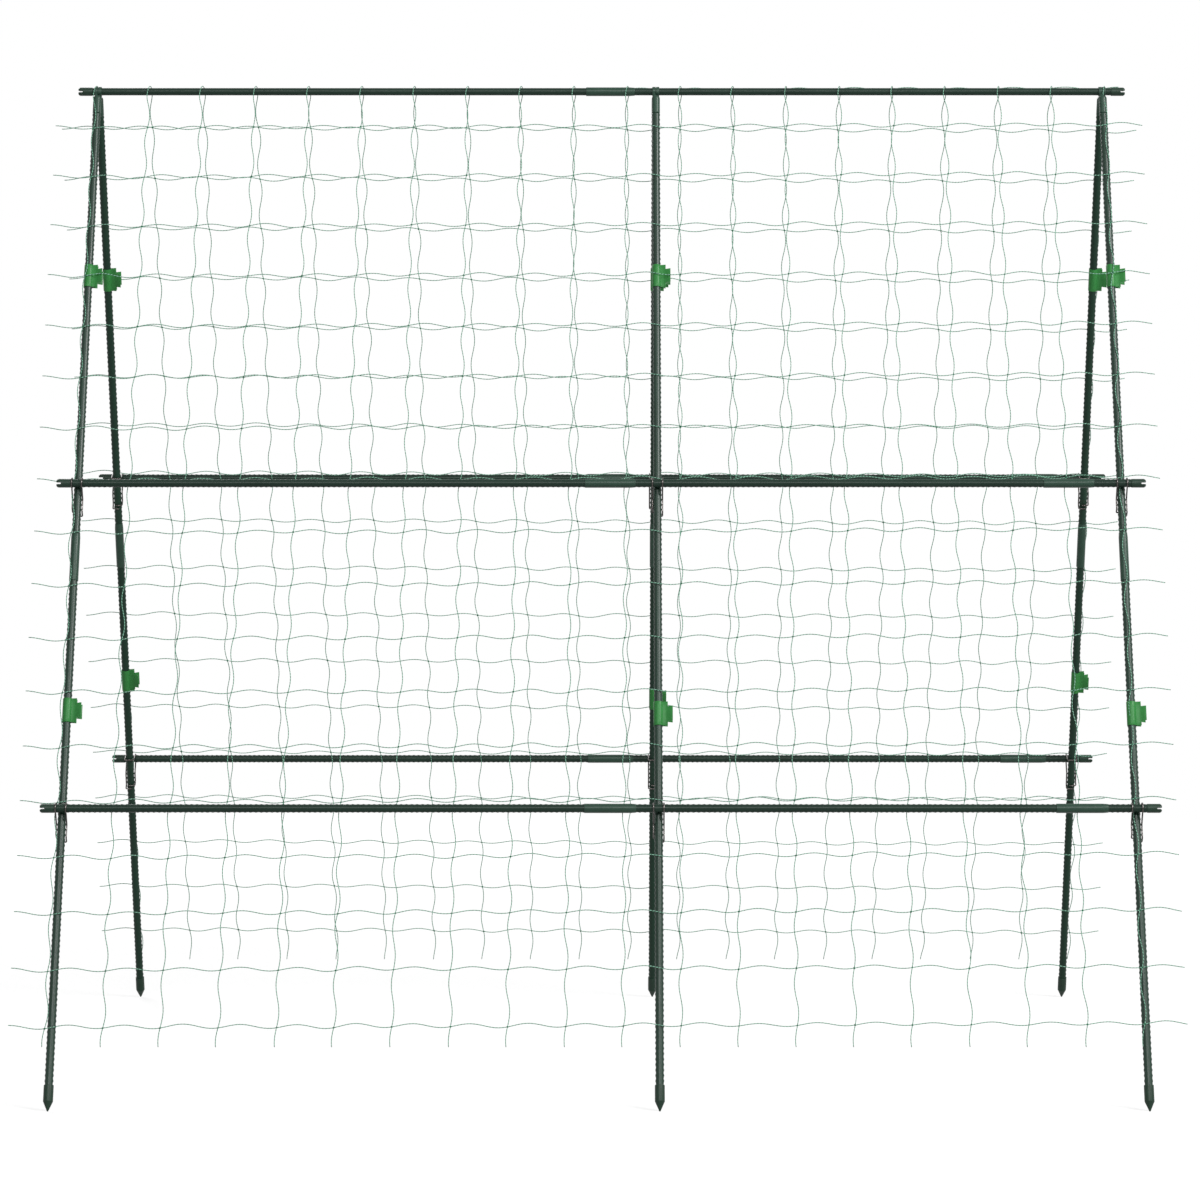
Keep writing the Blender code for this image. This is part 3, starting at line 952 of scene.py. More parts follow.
@dataclass(frozen=True)
class Joiner:
    """A smooth plastic sleeve over the place where two stakes meet.

    Its foot is cut square, its head narrows to where the second stake is pushed in.
    """

    length: float = 0.091
    radius: float = 0.0082
    bore: float = 0.0060
    lip: float = 0.0075  # radius of the head's end
    taper: float = 0.0095  # length over which it narrows
    edge: float = 0.0004
    sides: int = 40

    def mesh(self) -> bpy.types.Mesh:
        """Turns the sleeve along Z, about its own middle.

        Returns:
            The sleeve's mesh, its head up.
        """
        half = self.length / 2
        outline = [
            (self.bore, -half),
            (self.radius, -half),
            (self.radius, half - self.taper),
            (self.lip, half),
            (self.bore, half),
        ]
        return lathe("joiner", outline, self.sides, closed=True, edge=self.edge)


@dataclass(frozen=True)
class FootTip:
    """A leg's pointed foot: a sleeve, a cone and a small blunt end cut level with the floor."""

    cone: float = 0.0160
    sleeve: float = 0.029
    radius: float = 0.0086
    blunt: float = 0.0009  # radius of the cone's end
    bore: float = 0.0059
    bore_part: float = 3.0  # the open bore is the sleeve's length divided by this
    rim: Span = (0.0003, 0.0006)  # the sleeve's rims: how far they draw in, and over what height
    shoulder: float = 0.0004  # how much narrower the cone starts
    edge: float = 0.0004
    sides: int = 32

    def mesh(self, length: float, slant: float) -> bpy.types.Mesh:
        """The tip in the leg's own axes.

        Args:
            length: The leg's length.
            slant: Its lean from upright, in radians.

        Returns:
            The tip's mesh.
        """
        mouth = -(length - self.cone - self.sleeve)
        shoulder = mouth - self.sleeve
        end = -length - self.blunt / 2
        outline = [
            (self.bore, mouth - self.sleeve / self.bore_part),
            (self.bore, mouth),
            (self.radius - self.rim[0], mouth),
            (self.radius, mouth - self.rim[1]),
            (self.radius, shoulder + self.rim[1]),
            (self.radius - self.shoulder, shoulder),
            (self.blunt, end),
            (CORE, end),
        ]
        draft = bmesh.new()
        mesh = lathe("pointed_tip", outline, self.sides, edge=self.edge)
        draft.from_mesh(mesh)
        floor = Vector((0.0, math.sin(slant), -math.cos(slant)))
        everything = draft.verts[:] + draft.edges[:] + draft.faces[:]
        bmesh.ops.bisect_plane(
            draft, geom=everything, plane_co=(0, 0, -length), plane_no=floor, clear_outer=True)
        rim = [edge for edge in draft.edges if edge.is_boundary]
        bmesh.ops.contextual_create(draft, geom=rim)
        draft.to_mesh(mesh)
        draft.free()
        return outward(mesh)


@dataclass(frozen=True)
class ApexCap:
    """A leg's top cap: an eye round the top bar, a neck and a head over the stake's end.

    The eye lies to the -X side of the leg's axis, the head round the axis itself.
    """

    leg_out: float
    eye_bore: float = 0.0072
    eye_radius: float = 0.0091
    eye_near: float = 0.00025  # the eye's two faces, from the leg's axis
    eye_far: float = 0.0065
    head_top: float = 0.0134
    head_foot: float = 0.0487
    head_radius: float = 0.0076
    head_edge: float = 0.0012
    crown_radius: float = 0.0058
    crown_height: float = 0.0034
    neck_half: float = 0.0040  # half the neck's depth
    neck_lean: float = 0.0020  # its top, inside the eye's own axis
    neck_reach: Span = (0.0008, 0.0035)  # how far it goes into the ring and the head
    neck_step: float = 0.0012  # how much narrower than the eye it is
    sides: int = 48
    voxel: float = 0.00045

    def mesh(self) -> bpy.types.Mesh:
        """The cap in the leg's own axes, with the leg's axis along Z."""
        return fused(merged("apex_cap", [self.eye(), self.neck(), self.head()]), self.voxel)

    def eye(self) -> bpy.types.Mesh:
        """Turns the ring round the top bar, whose axis lies inside the leg's plane.

        Returns:
            The ring's mesh.
        """
        outline = [
            (self.eye_bore, self.eye_near), (self.eye_radius, self.eye_near),
            (self.eye_radius, self.eye_far), (self.eye_bore, self.eye_far),
        ]
        ring = lathe("eye", outline, self.sides, closed=True)
        ring.transform(Matrix.Translation((0, self.leg_out, 0)) @ Matrix.Rotation(-math.pi / 2, 4, "Y"))
        return ring

    def neck(self) -> bpy.types.Mesh:
        """Makes the web from the ring to the head, leaning outwards with the leg.

        Returns:
            The neck's mesh.
        """
        into_ring, into_head = self.neck_reach
        top = Vector((0.0, self.leg_out - self.neck_lean, -self.eye_bore - into_ring))
        bottom = Vector((0.0, 0.0, -self.head_top - into_head))
        far, near, half = -self.eye_far + self.neck_step, -self.eye_near, self.neck_half
        corners = [(far, -half), (near, -half), (near, half), (far, half)]
        return prism("neck", [[(x, centre.y + y, centre.z) for x, y in corners] for centre in (top, bottom)])

    def head(self) -> bpy.types.Mesh:
        """Turns the cap over the stake's end.

        Returns:
            The head's mesh.
        """
        outline = [
            (CORE, -self.head_top),
            (self.crown_radius, -self.head_top),
            (self.head_radius, -self.head_top - self.crown_height),
            (self.head_radius, -self.head_foot),
            (CORE, -self.head_foot),
        ]
        return lathe("head", outline, self.sides, edge=self.head_edge)


@dataclass(frozen=True)
class EndCap:
    """A bar's plugged end with its fork: a narrow slot behind a flared mouth.

    The cap's axis is Z, its face looks up and lies at Z = 0, and the slot runs through along Y.
    """

    radius: float = 0.0079
    length: float = 0.027
    round_off: float = 0.0030  # height of the rounded face
    face_share: float = 0.7  # how far the face draws in, as a share of that
    foot: Span = (0.0009, 0.0016)  # the foot's rim: how far it draws in, and over what height
    edge: float = 0.0008
    slot: float = 0.0027
    mouth: float = 0.0042
    flare: float = 0.0014  # depth of the flared mouth
    depth: float = 0.0085
    overshoot: float = 0.002  # the cutter above the face
    cutter_share: float = 1.2  # and past the cap's sides
    sides: int = 48
    voxel: float = 0.0004
    smoothing: int = 3

    def mesh(self) -> bpy.types.Mesh:
        """Turns the cap and cuts its slot.

        Returns:
            The forked cap's mesh.
        """
        outline = [
            (CORE, 0.0),
            (self.radius - self.round_off * self.face_share, 0.0),
            (self.radius, -self.round_off),
            (self.radius, -self.length + self.foot[1]),
            (self.radius - self.foot[0], -self.length),
            (CORE, -self.length),
        ]
        body = lathe("end_cap", outline, self.sides, edge=self.edge)
        cutter = self.fork()
        tool = linked("fork", cutter)
        cut = applied(body, ("BOOLEAN", {"object": tool, "operation": "DIFFERENCE"}))
        bpy.data.objects.remove(tool)
        bpy.data.meshes.remove(cutter)
        return fused(cut, self.voxel, self.smoothing)

    def fork(self) -> bpy.types.Mesh:
        """Makes what cuts the slot.

        Returns:
            A prism along Y.
        """
        narrow, wide = self.slot / 2, self.mouth / 2
        outline = [(wide, self.overshoot), (wide, 0.0), (narrow, -self.flare), (narrow, -self.depth)]
        outline += [(-x, z) for x, z in outline[::-1]]
        reach = self.radius * self.cutter_share
        return prism("fork", [[(x, y, z) for x, z in outline] for y in (-reach, reach)])


@dataclass(frozen=True)
class Legs:
    """The six legs: knobbed stakes, joiner sleeves, apex caps and foot tips."""

    layout: Layout
    finishes: Finishes
    knobs: KnobRows = KnobRows()
    tip: FootTip = FootTip()
    length: float = 1.918
    stake_top: float = 0.0490
    joint: float = 0.921  # where a leg's two stakes meet

    def build(self) -> None:
        """Builds and seats every leg's pieces."""
        sleeve_top = self.length - self.tip.cone - self.tip.sleeve
        stake_foot = sleeve_top + self.tip.sleeve / 2
        upper = self.knobs.tube("upper_stake", self.stake_top, self.joint)
        lower = self.knobs.tube("lower_stake", self.joint, stake_foot)
        whole = self.knobs.tube("whole_stake", self.stake_top, stake_foot)
        sleeve = Joiner().mesh()
        cap = ApexCap(self.layout.leg_out).mesh()
        tip = self.tip.mesh(self.length, self.layout.slant)
        for side, station in product(Side, Station):
            tag = f"{side.word}_{station.value}"
            place = self.layout.place(side, station) @ side.turn
            # the back legs wear the darker copy of the coat, which is painted shade
            coat = self.finishes.stake if side is Side.FRONT else self.finishes.back_stake
            if (side, station) == (Side.FRONT, Station.MIDDLE):
                seat(f"knobbed_stake_{tag}", whole, coat, side, place, [f"leg_stake_{tag}"])
            else:
                seat(f"knobbed_upper_stake_{tag}", upper, coat, side, place, [f"upper_stake_{tag}"])
                seat(f"knobbed_lower_stake_{tag}", lower, coat, side, place, [f"lower_stake_{tag}"])
                at_joint = self.layout.place(side, station, self.joint) @ side.turn
                seat(f"leg_joiner_{tag}", sleeve, self.finishes.joiner, side, at_joint)
            seat(f"moulded_apex_cap_{tag}", cap, self.finishes.cap, side, place, [f"apex_cap_{tag}"])
            seat(f"pointed_tip_{tag}", tip, self.finishes.tip, side, place, [f"foot_tip_{tag}"])


@dataclass(frozen=True)
class Bars:
    """The top bar and the four lower ones, with their joiners and forked ends."""

    layout: Layout
    finishes: Finishes
    smooth: KnobRows = KnobRows(crest=0.00692)
    knobbed: KnobRows = KnobRows(crest=0.00765)
    end_cap: EndCap = EndCap()
    joiner: Joiner = Joiner()
    second_joiner: float = 0.096  # short of the right A-frame
    plug: float = 0.6  # share of an end cap that the stake doesn't reach into

    def build(self) -> None:
        """Builds and seats the five bars."""
        cap = self.end_cap.mesh()
        sleeve = self.joiner.mesh()
        self.build_bar("top_bar", Side.FRONT, self.smooth, cap, sleeve)
        for side, level in product(Side, BAR_LEVELS):
            self.build_bar(f"{side.word}_{level.value}_bar", side, self.knobbed, cap, sleeve)

    def build_bar(self, bar: str, side: Side, knobs: KnobRows, cap: bpy.types.Mesh,
                  sleeve: bpy.types.Mesh) -> None:
        """Builds one bar from the boxes of its two nodes.

        Args:
            bar: The bar's name, before the section's.
            side: The side that it rides on.
            knobs: Its coat.
            cap: The end cap's mesh.
            sleeve: The joiner's mesh.
        """
        left_low, left_high = node_box(f"{bar}_left")
        right_low, right_high = node_box(f"{bar}_right")
        axis = (left_low + left_high) / 2
        joint = right_low.x + self.joiner.length / 2
        plug = self.end_cap.length * self.plug
        sections = (("left", left_low.x + plug, joint), ("right", joint, right_high.x - plug))
        for word, start, end in sections:
            mesh = knobs.tube(f"{bar}_{word}", 0.0, end - start)
            # the bars wear the darker copy of the stake coat, which is painted shade
            seat(f"coated_{bar}_{word}", mesh, self.finishes.bar, side, self.place(axis, start, -1),
                 [f"{bar}_{word}"])
        for word, x, toward in (("left", left_low.x, -1), ("right", right_high.x, 1)):
            place = self.place(axis, x, toward) @ Matrix.Rotation(math.pi, 4, "Z")
            seat(f"fork_cap_{bar}_{word}", cap, self.finishes.tip, side, place)
        middles = [joint]
        if bar != "top_bar":
            middles.append(self.layout.stations[Station.RIGHT] - self.second_joiner)
        for number, x in enumerate(middles, 1):
            seat(f"bar_joiner_{bar}_{number}", sleeve, self.finishes.joiner, side, self.place(axis, x, 1))

    @staticmethod
    def place(axis: Vector, x: float, toward: int) -> Matrix:
        """Matrix of a piece on a bar's axis, its own Z towards +X for 1 and -X for -1."""
        return Matrix.Translation((x, axis.y, axis.z)) @ Matrix.Rotation(toward * math.pi / 2, 4, "Y")


@dataclass(frozen=True)
class WireTies:
    """Bent wires that tie the lower bars to the legs."""

    layout: Layout
    finishes: Finishes
    radius: float = 0.00135
    spread: float = 0.0182  # between a tie's two wires
    stake_radius: float = 0.0076  # of the stake that it bends round
    gap: float = 0.0001
    bar_out: float = 0.0169  # from the bar's axis to the leg's
    short_tail: float = 0.047
    long_tail: float = 0.054
    drop: float = 0.016  # below the bar, where the wires reach the leg's sides
    hook: float = 0.0125
    bend: float = 0.0026
    arc_steps: int = 14
    sides: int = 10
    near: float = 1e-5  # points closer than this are one

    def build(self) -> None:
        """Builds and seats the twelve ties."""
        mesh = self.mesh()
        for side, level, station in product(Side, BAR_LEVELS, Station):
            bar = self.layout.middle_of(side, f"{side.word}_{level.value}_bar_left")
            place = self.layout.place(side, station, -bar.z, side.value * bar.y) @ side.turn
            tag = f"{side.word}_{level.value}_{station.value}"
            seat(f"bent_wire_{tag}", mesh, self.finishes.wire, side, place, [f"wire_tie_{tag}"])

    @property
    def reach(self) -> float:
        """Radius of the wire's bend over the bar."""
        return self.stake_radius + self.gap + self.radius

    def mesh(self) -> bpy.types.Mesh:
        """Bends one tie, with the bar's axis through its origin and the leg towards +Y.

        Returns:
            The tie's mesh.
        """
        left = self.one_wire(-1, self.short_tail)
        right = self.one_wire(1, self.long_tail)
        path = np.array([tuple(point) for point in left + right[::-1]])
        keep = np.concatenate([[True], np.linalg.norm(np.diff(path, axis=0), axis=1) > self.near])
        return outward(steady_tube("bent_wire", path[keep], self.radius, self.sides))

    def one_wire(self, side: int, tail: float) -> list[Vector]:
        """One of the tie's two wires, from its hook up over the bar to the closed end.

        Args:
            side: -1 for the wire towards -X, 1 for the other.
            tail: How far below the bar's axis it hooks round the leg.

        Returns:
            Points along the wire.
        """
        x = side * self.spread / 2
        reach = self.reach
        inside = self.bar_out + reach
        corners = [
            (x - side * self.hook, inside, -tail),
            (x, inside, -tail),
            (x, self.bar_out, -tail + 2 * self.bend),
            (x, self.bar_out, -reach - self.drop),
            (x, 0.0, -reach),
        ]
        path = eased(corners, self.bend)
        for number in range(1, self.arc_steps):
            turn = math.pi * number / self.arc_steps
            path.append(Vector((x, -reach * math.sin(turn), -reach * math.cos(turn))))
        return path + eased([(x, 0.0, reach), (x, inside, reach), (0.0, inside, reach)], self.bend)


@dataclass(frozen=True)
class SnapClips:
    """Springy clips round the legs, each with a mouth towards +X and two flared lips."""

    layout: Layout
    finishes: Finishes
    bore: float = 0.0072
    wall: float = 0.0013
    height: float = 0.0437
    tip_height: float = 0.0265  # of the lips
    mouth: float = math.radians(20)  # half the mouth's angle
    throat: Span = (0.0147, 0.0036)  # where a lip steps in: reach, and offset from the middle
    tip: Span = (0.0255, 0.0083)  # the lip's end, in the same way
    lip_steps: int = 3
    lip_bend: float = 0.0022
    bend_steps: int = 4
    arc_steps: int = 40
    edge: float = 0.0003
    edge_angle: float = math.radians(50)
    slips: dict[tuple[Side, Level], float] = field(default_factory=lambda: {
        (Side.FRONT, Level.UPPER): 0.0049, (Side.FRONT, Level.LOWER): 0.0018,
        (Side.BACK, Level.UPPER): 0.0007, (Side.BACK, Level.LOWER): -0.0042,
    })  # how far the clips slid down their legs
    lone_slip: float = 0.0048  # on top of it, for the clip on the back lower right

    def build(self) -> None:
        """Builds and seats the twelve clips."""
        mesh = self.mesh()
        for side, level, station in product(Side, CLIP_LEVELS, Station):
            node = f"snap_clip_{side.word}_{level.value}_{station.value}"
            slip = self.slips[side, level]
            if (side, level, station) == (Side.BACK, Level.LOWER, Station.RIGHT):
                slip += self.lone_slip
            down = -self.layout.middle_of(side, node).z + slip
            place = self.layout.place(side, station, down)
            seat(f"spring_{node}", mesh, self.finishes.clip, side, place, [node])

    def mesh(self) -> bpy.types.Mesh:
        """One clip round Z, with rounded edges.

        Returns:
            The clip's mesh: its wall is full height round the leg and lower at the lips.
        """
        section = self.section()
        middle, tall = self.tip_height / 2, self.height / 2
        heights = [-tall, -middle, middle, tall]
        draft = bmesh.new()
        columns = [[draft.verts.new((point.x, point.y, z)) for z in heights] for point in section]
        last = len(section) - 1
        for number, (here, after) in enumerate(zip(columns, columns[1:])):
            on_lip = number < self.lip_steps or number >= last - self.lip_steps
            for row in (1,) if on_lip else (0, 1, 2):
                draft.faces.new((here[row], after[row], after[row + 1], here[row + 1]))
        loose = [vert for vert in draft.verts if not vert.link_faces]
        bmesh.ops.delete(draft, geom=loose, context="VERTS")
        bmesh.ops.recalc_face_normals(draft, faces=draft.faces)
        mesh = applied(
            finished("snap_clip", draft),
            ("SOLIDIFY", {"thickness": self.wall, "offset": 0.0, "use_even_offset": True}),
            ("BEVEL", {"width": self.edge, "segments": 2, "limit_method": "ANGLE",
                       "angle_limit": self.edge_angle, "use_clamp_overlap": True}),
        )
        return outward(mesh)

    def section(self) -> list[Vector]:
        """Draws the middle of the clip's wall as seen along the leg.

        Returns:
            Points from one lip's tip to the other's.
        """
        radius = self.bore + self.wall / 2
        root = Vector((radius * math.cos(self.mouth), radius * math.sin(self.mouth)))
        throat, tip = Vector(self.throat), Vector(self.tip)
        lip = [tip.lerp(throat, number / self.lip_steps) for number in range(self.lip_steps)]
        lip += eased([tip, throat, root], self.lip_bend, self.bend_steps)[1:-1]
        arc = []
        for number in range(self.arc_steps + 1):
            turn = self.mouth + (2 * math.pi - 2 * self.mouth) * number / self.arc_steps
            arc.append(Vector((radius * math.cos(turn), radius * math.sin(turn))))
        mirrored = [Vector((point.x, -point.y)) for point in lip[::-1]]
        return lip + arc + mirrored


@dataclass(frozen=True)
class Sway:
    """A string's small irregular wander, the same each run."""

    seed: int
    size: float
    waves: tuple[float, ...] = (0.42, 0.27, 0.16, 0.11)
    stretch: Span = (0.8, 1.25)  # limits by which a wave's length varies

    def __call__(self, along: np.ndarray) -> np.ndarray:
        """The wander at places along the string.

        Args:
            along: Distances along it.

        Returns:
            How far it is off there.
        """
        dice = random.Random(self.seed)
        total = np.zeros_like(along)
        for wave in self.waves:
            length = wave * dice.uniform(*self.stretch)
            phase = dice.uniform(0, 2 * math.pi)
            total += np.sin(2 * math.pi * along / length + phase)
        return self.size * total / math.sqrt(len(self.waves))


@dataclass(frozen=True)
class Rise:
    """A stretch of the net that is lifted by what it lies over.

    Its sizes are along the bars and down the leg, measured from its middle.
    """

    height: float
    flat: Span  # how far the full height goes
    reach: Span  # where it has eased to nothing

    def over(self, x: np.ndarray, down: np.ndarray) -> np.ndarray:
        """The lift at distances from the middle along the bars and down the leg."""
        return self.height * self.ease(x, 0) * self.ease(down, 1)

    def ease(self, off: np.ndarray, axis: int) -> np.ndarray:
        """1 within the flat stretch, easing to 0 at its reach.

        Args:
            off: Distances from the middle.
            axis: 0 for those along the bars, 1 for those down the leg.

        Returns:
            The share of the full height.
        """
        flat, reach = self.flat[axis], self.reach[axis]
        value = np.clip((reach - np.abs(off)) / (reach - flat), 0, 1)
        return value * value * (3 - 2 * value)


@dataclass(frozen=True)
class StringNet:
    """The knotted string net over both sides of the frame.

    It is laid out flat, in X and in "over", the distance of string from the ridge row on top of
    the bar, front side positive. Each string waves once a mesh, as the kinks of its knots leave it.
    """

    layout: Layout
    finishes: Finishes
    columns: int = 20  # strings over the top bar
    rows: int = 18  # strings along each side
    first_column: float = -0.0030  # its X, from the left A-frame
    column_pitch: float = 0.09946
    first_row: float = 0.0778  # down the leg
    row_pitch: float = 0.0996
    column_skew: float = -0.0043  # drift along X for each metre over
    row_skew: float = -0.0035  # drift over for each metre along X
    wave: float = 0.0032
    lag: float = 0.035  # part of a mesh by which the wave trails the knots
    wander: float = 0.0008
    out: float = 0.0158  # outside the hinge's plane
    ripple: float = 0.0003  # small slack out of that plane
    ripple_waves: Span = (37.0, 23.0)  # along X and down the leg
    crown_radius: float = 0.0103  # at which columns pass over the top bar
    crown_points: int = 9
    flank_points: int = 6
    ridge_turn: float = math.radians(66)  # of the ridge row, from the top of the bar backwards
    ridge_tail: float = 0.038
    side_start: float = 0.034  # down the leg, where the net reaches its plane
    side_tail: float = 0.074
    front_tail: float = 0.038
    back_tail: float = 0.065
    string_radius: float = 0.00079
    step: float = 0.0062
    sides: int = 5
    column_guide: Place = (1.0, 0.0, 0.0)
    ridge_guide: Place = (0.0, 0.0, 1.0)
    row_guide: Place = (0.0, 0.3, 1.0)
    knot_radius: float = 0.0016
    knot_sizes: Span = (0.85, 1.2)
    knot_width: float = 1.2
    knot_depth: float = 0.8
    knot_heights: Span = (0.85, 1.1)
    knot_turn: float = 0.9
    crossing_tries: int = 4
    column_seed: int = 100
    row_seed: int = 500
    knot_seed: int = 77
    clip_rise: Rise = Rise(0.0024, (0.020, 0.026), (0.042, 0.042))
    tucked_rise: Rise = Rise(-0.0008, (0.020, 0.026), (0.042, 0.042))  # where it passes under a clip
    tucked: tuple[Side, Level, Station] = (Side.FRONT, Level.LOWER, Station.RIGHT)
    clip_shift: float = 0.009  # a clip's middle, from the leg's axis along X
    joiner_rise: Rise = Rise(0.0012, (0.010, 0.048), (0.028, 0.064))

    def build(self) -> None:
        """Builds and seats the net's strings and knots."""
        strings = [self.column(number) for number in range(self.columns)]
        strings.append(self.ridge())
        net = self.seat_over_bar("net_columns", merged("net_columns", strings))
        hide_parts("net_front", "net_back")
        for side in Side:
            rows = merged("net_rows", [self.row(side, number) for number in range(self.rows)])
            seat(f"net_rows_{side.word}", rows, self.finishes.string, side)
            seat(f"net_knots_{side.word}", self.knots(side), self.finishes.knot, side)

    def seat_over_bar(self, name: str, mesh: bpy.types.Mesh) -> bpy.types.Object:
        """Places the string that runs over the top bar, in the frame's axes and on no body.

        Args:
            name: The piece's name.
            mesh: Its mesh in the frame's axes.

        Returns:
            The piece.
        """
        piece = dressed(name, mesh, self.finishes.string)
        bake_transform(piece)
        logger.info("%s: %d faces over both sides", name, len(mesh.polygons))
        return piece

    @property
    def slack(self) -> float:
        """String that the wrap over the bar takes on top of the distance down the leg."""
        return self.row_pitch - self.first_row

    @property
    def start_x(self) -> float:
        """X of the first column at the ridge."""
        return self.layout.stations[Station.LEFT] + self.first_column

    def kinked(self, along: np.ndarray, pitch: float) -> np.ndarray:
        """The wave that knots a pitch apart leave in a string, at distances along it."""
        return self.wave * np.sin(2 * math.pi * (along / pitch - self.lag))

    def column_x(self, number: int, over: np.ndarray) -> np.ndarray:
        """X of a column.

        Args:
            number: Which column, from the left.
            over: Distances over the net.

        Returns:
            X at each of them.
        """
        straight = self.start_x + number * self.column_pitch + self.column_skew * over
        sway = Sway(self.column_seed + number, self.wander)
        return straight - self.kinked(over, self.row_pitch) + sway(over)

    def row_over(self, side: Side, number: int, x: np.ndarray) -> np.ndarray:
        """Distance over the net of a row.

        Args:
            side: Its side.
            number: Which row, from the top; the ridge is number -1.
            x: Places along the bars.

        Returns:
            The distance at each of them.
        """
        straight = -side.value * self.row_pitch * (number + 1) + self.row_skew * x
        sway = Sway(self.row_seed + number * 2 + (side is Side.BACK), self.wander)
        return straight - self.kinked(x - self.start_x, self.column_pitch) + sway(x)

    def lift(self, side: Side, x: np.ndarray, down: np.ndarray) -> np.ndarray:
        """How far the net stands out over the snap clips and joiners, and its own slack.

        Args:
            side: The net's side.
            x: Places along the bars.
            down: Distances down the legs.

        Returns:
            The lift at each place.
        """
        total = self.ripple * np.sin(x * self.ripple_waves[0] + down * self.ripple_waves[1])
        for station, place in self.layout.stations.items():
            for level in CLIP_LEVELS:
                node = f"snap_clip_{side.word}_{level.value}_{station.value}"
                middle = -self.layout.middle_of(side, node).z
                rise = self.tucked_rise if (side, level, station) == self.tucked else self.clip_rise
                total = total + rise.over(x - place - self.clip_shift, down - middle)
            total = total + self.joiner_rise.over(x - place, down - Legs.joint)
        return total

    def points(self, side: Side, x: np.ndarray, over: np.ndarray) -> np.ndarray:
        """Points of the net in the frame's axes.

        Args:
            side: The net's side.
            x: Places along the bars.
            over: Distances over the net.

        Returns:
            A point for each pair.
        """
        down = -side.value * over - self.slack
        out = self.out + self.lift(side, x, down)
        return np.array([tuple(self.layout.point(side, *spot)) for spot in zip(x, down, out)])

    def column(self, number: int) -> bpy.types.Mesh:
        """One string from the front's foot over the top bar to the back's foot.

        Args:
            number: Which column, from the left.

        Returns:
            The string's mesh.
        """
        first = self.side_start + self.slack
        last = self.rows * self.row_pitch
        parts = {}
        for side, tail in ((Side.FRONT, self.front_tail), (Side.BACK, self.back_tail)):
            count = round((last + tail - first) / self.step)
            over = -side.value * np.linspace(first, last + tail, count)
            parts[side] = self.points(side, self.column_x(number, over), over)
        crown = self.crown(number, parts[Side.FRONT][0], parts[Side.BACK][0])
        path = np.concatenate([parts[Side.FRONT][::-1], crown, parts[Side.BACK]])
        return sweep("column", path, self.string_radius, self.sides, self.column_guide)

    def crown(self, number: int, front: np.ndarray, back: np.ndarray) -> np.ndarray:
        """The stretch of a column over the top bar.

        Args:
            number: Which column, from the left.
            front: Its highest point on the front side.
            back: Its highest point on the back side.

        Returns:
            The points between those two.
        """
        top = self.layout.pivot.z
        reach = math.hypot(front[1], front[2] - top)
        leave = math.atan2(-front[1], front[2] - top) - math.acos(self.crown_radius / reach)
        turns = np.linspace(-leave, leave, self.crown_points)
        depth, height = self.crown_radius * np.sin(turns), self.crown_radius * np.cos(turns)
        arc = np.stack([0 * turns, depth, top + height], -1)
        up = np.linspace(front * (0, 1, 1), arc[0], self.flank_points)[:-1]
        away = np.linspace(arc[-1], back * (0, 1, 1), self.flank_points)[1:]
        path = np.concatenate([up, arc, away])
        lengths = np.concatenate([[0.0], np.cumsum(np.linalg.norm(np.diff(path, axis=0), axis=1))])
        over = (1 - 2 * lengths / lengths[-1]) * (self.side_start + self.slack)
        path[:, 0] = self.column_x(number, over)
        return path[1:-1]

    def between_frames(self, tail: float) -> np.ndarray:
        """Places along the bars, from one outer A-frame to the other and a tail past each."""
        left, right = self.layout.stations[Station.LEFT], self.layout.stations[Station.RIGHT]
        return np.arange(left - tail, right + tail, self.step)

    def ridge(self) -> bpy.types.Mesh:
        """Runs the row along the top of the bar.

        Returns:
            The string's mesh.
        """
        x = self.between_frames(self.ridge_tail)
        turn = self.ridge_turn + self.row_over(Side.FRONT, -1, x) / self.crown_radius
        height = self.layout.pivot.z + self.crown_radius * np.cos(turn)
        path = np.stack([x, self.crown_radius * np.sin(turn), height], -1)
        return sweep("ridge", path, self.string_radius, self.sides, self.ridge_guide)

    def row(self, side: Side, number: int) -> bpy.types.Mesh:
        """One string along the bars.

        Args:
            side: Its side.
            number: Which row, from the top.

        Returns:
            The string's mesh.
        """
        x = self.between_frames(self.side_tail)
        path = self.points(side, x, self.row_over(side, number, x))
        return sweep("row", path, self.string_radius, self.sides, self.row_guide)

    def knots(self, side: Side) -> bpy.types.Mesh:
        """Small uneven knots wherever a row crosses a column.

        Args:
            side: The net's side.

        Returns:
            The mesh of all the side's knots.
        """
        dice = random.Random(self.knot_seed + side.value)
        draft = bmesh.new()
        for number, column in product(range(self.rows), range(self.columns)):
            x, over = self.crossing(side, number, column)
            centre = Vector(self.points(side, x, over)[0])
            size = self.knot_radius * dice.uniform(*self.knot_sizes)
            tall = dice.uniform(*self.knot_heights)
            shape = Matrix.Diagonal((self.knot_width, self.knot_depth, tall, 1.0))
            turn = Matrix.Rotation(dice.uniform(-self.knot_turn, self.knot_turn), 4, "Y")
            place = Matrix.Translation(centre) @ turn @ shape
            bmesh.ops.create_icosphere(draft, subdivisions=1, radius=size, matrix=place)
        mesh = finished("net_knots", draft)
        mesh.shade_smooth()
        return mesh

    def crossing(self, side: Side, number: int, column: int) -> tuple[np.ndarray, np.ndarray]:
        """Where a row crosses a column.

        Args:
            side: The row's side.
            number: Which row, from the top.
            column: Which column, from the left.

        Returns:
            X and the distance over the net.
        """
        over = np.array([-side.value * self.row_pitch * (number + 1)])
        for _ in range(self.crossing_tries):
            x = self.column_x(column, over)
            over = self.row_over(side, number, x)
        return x, over


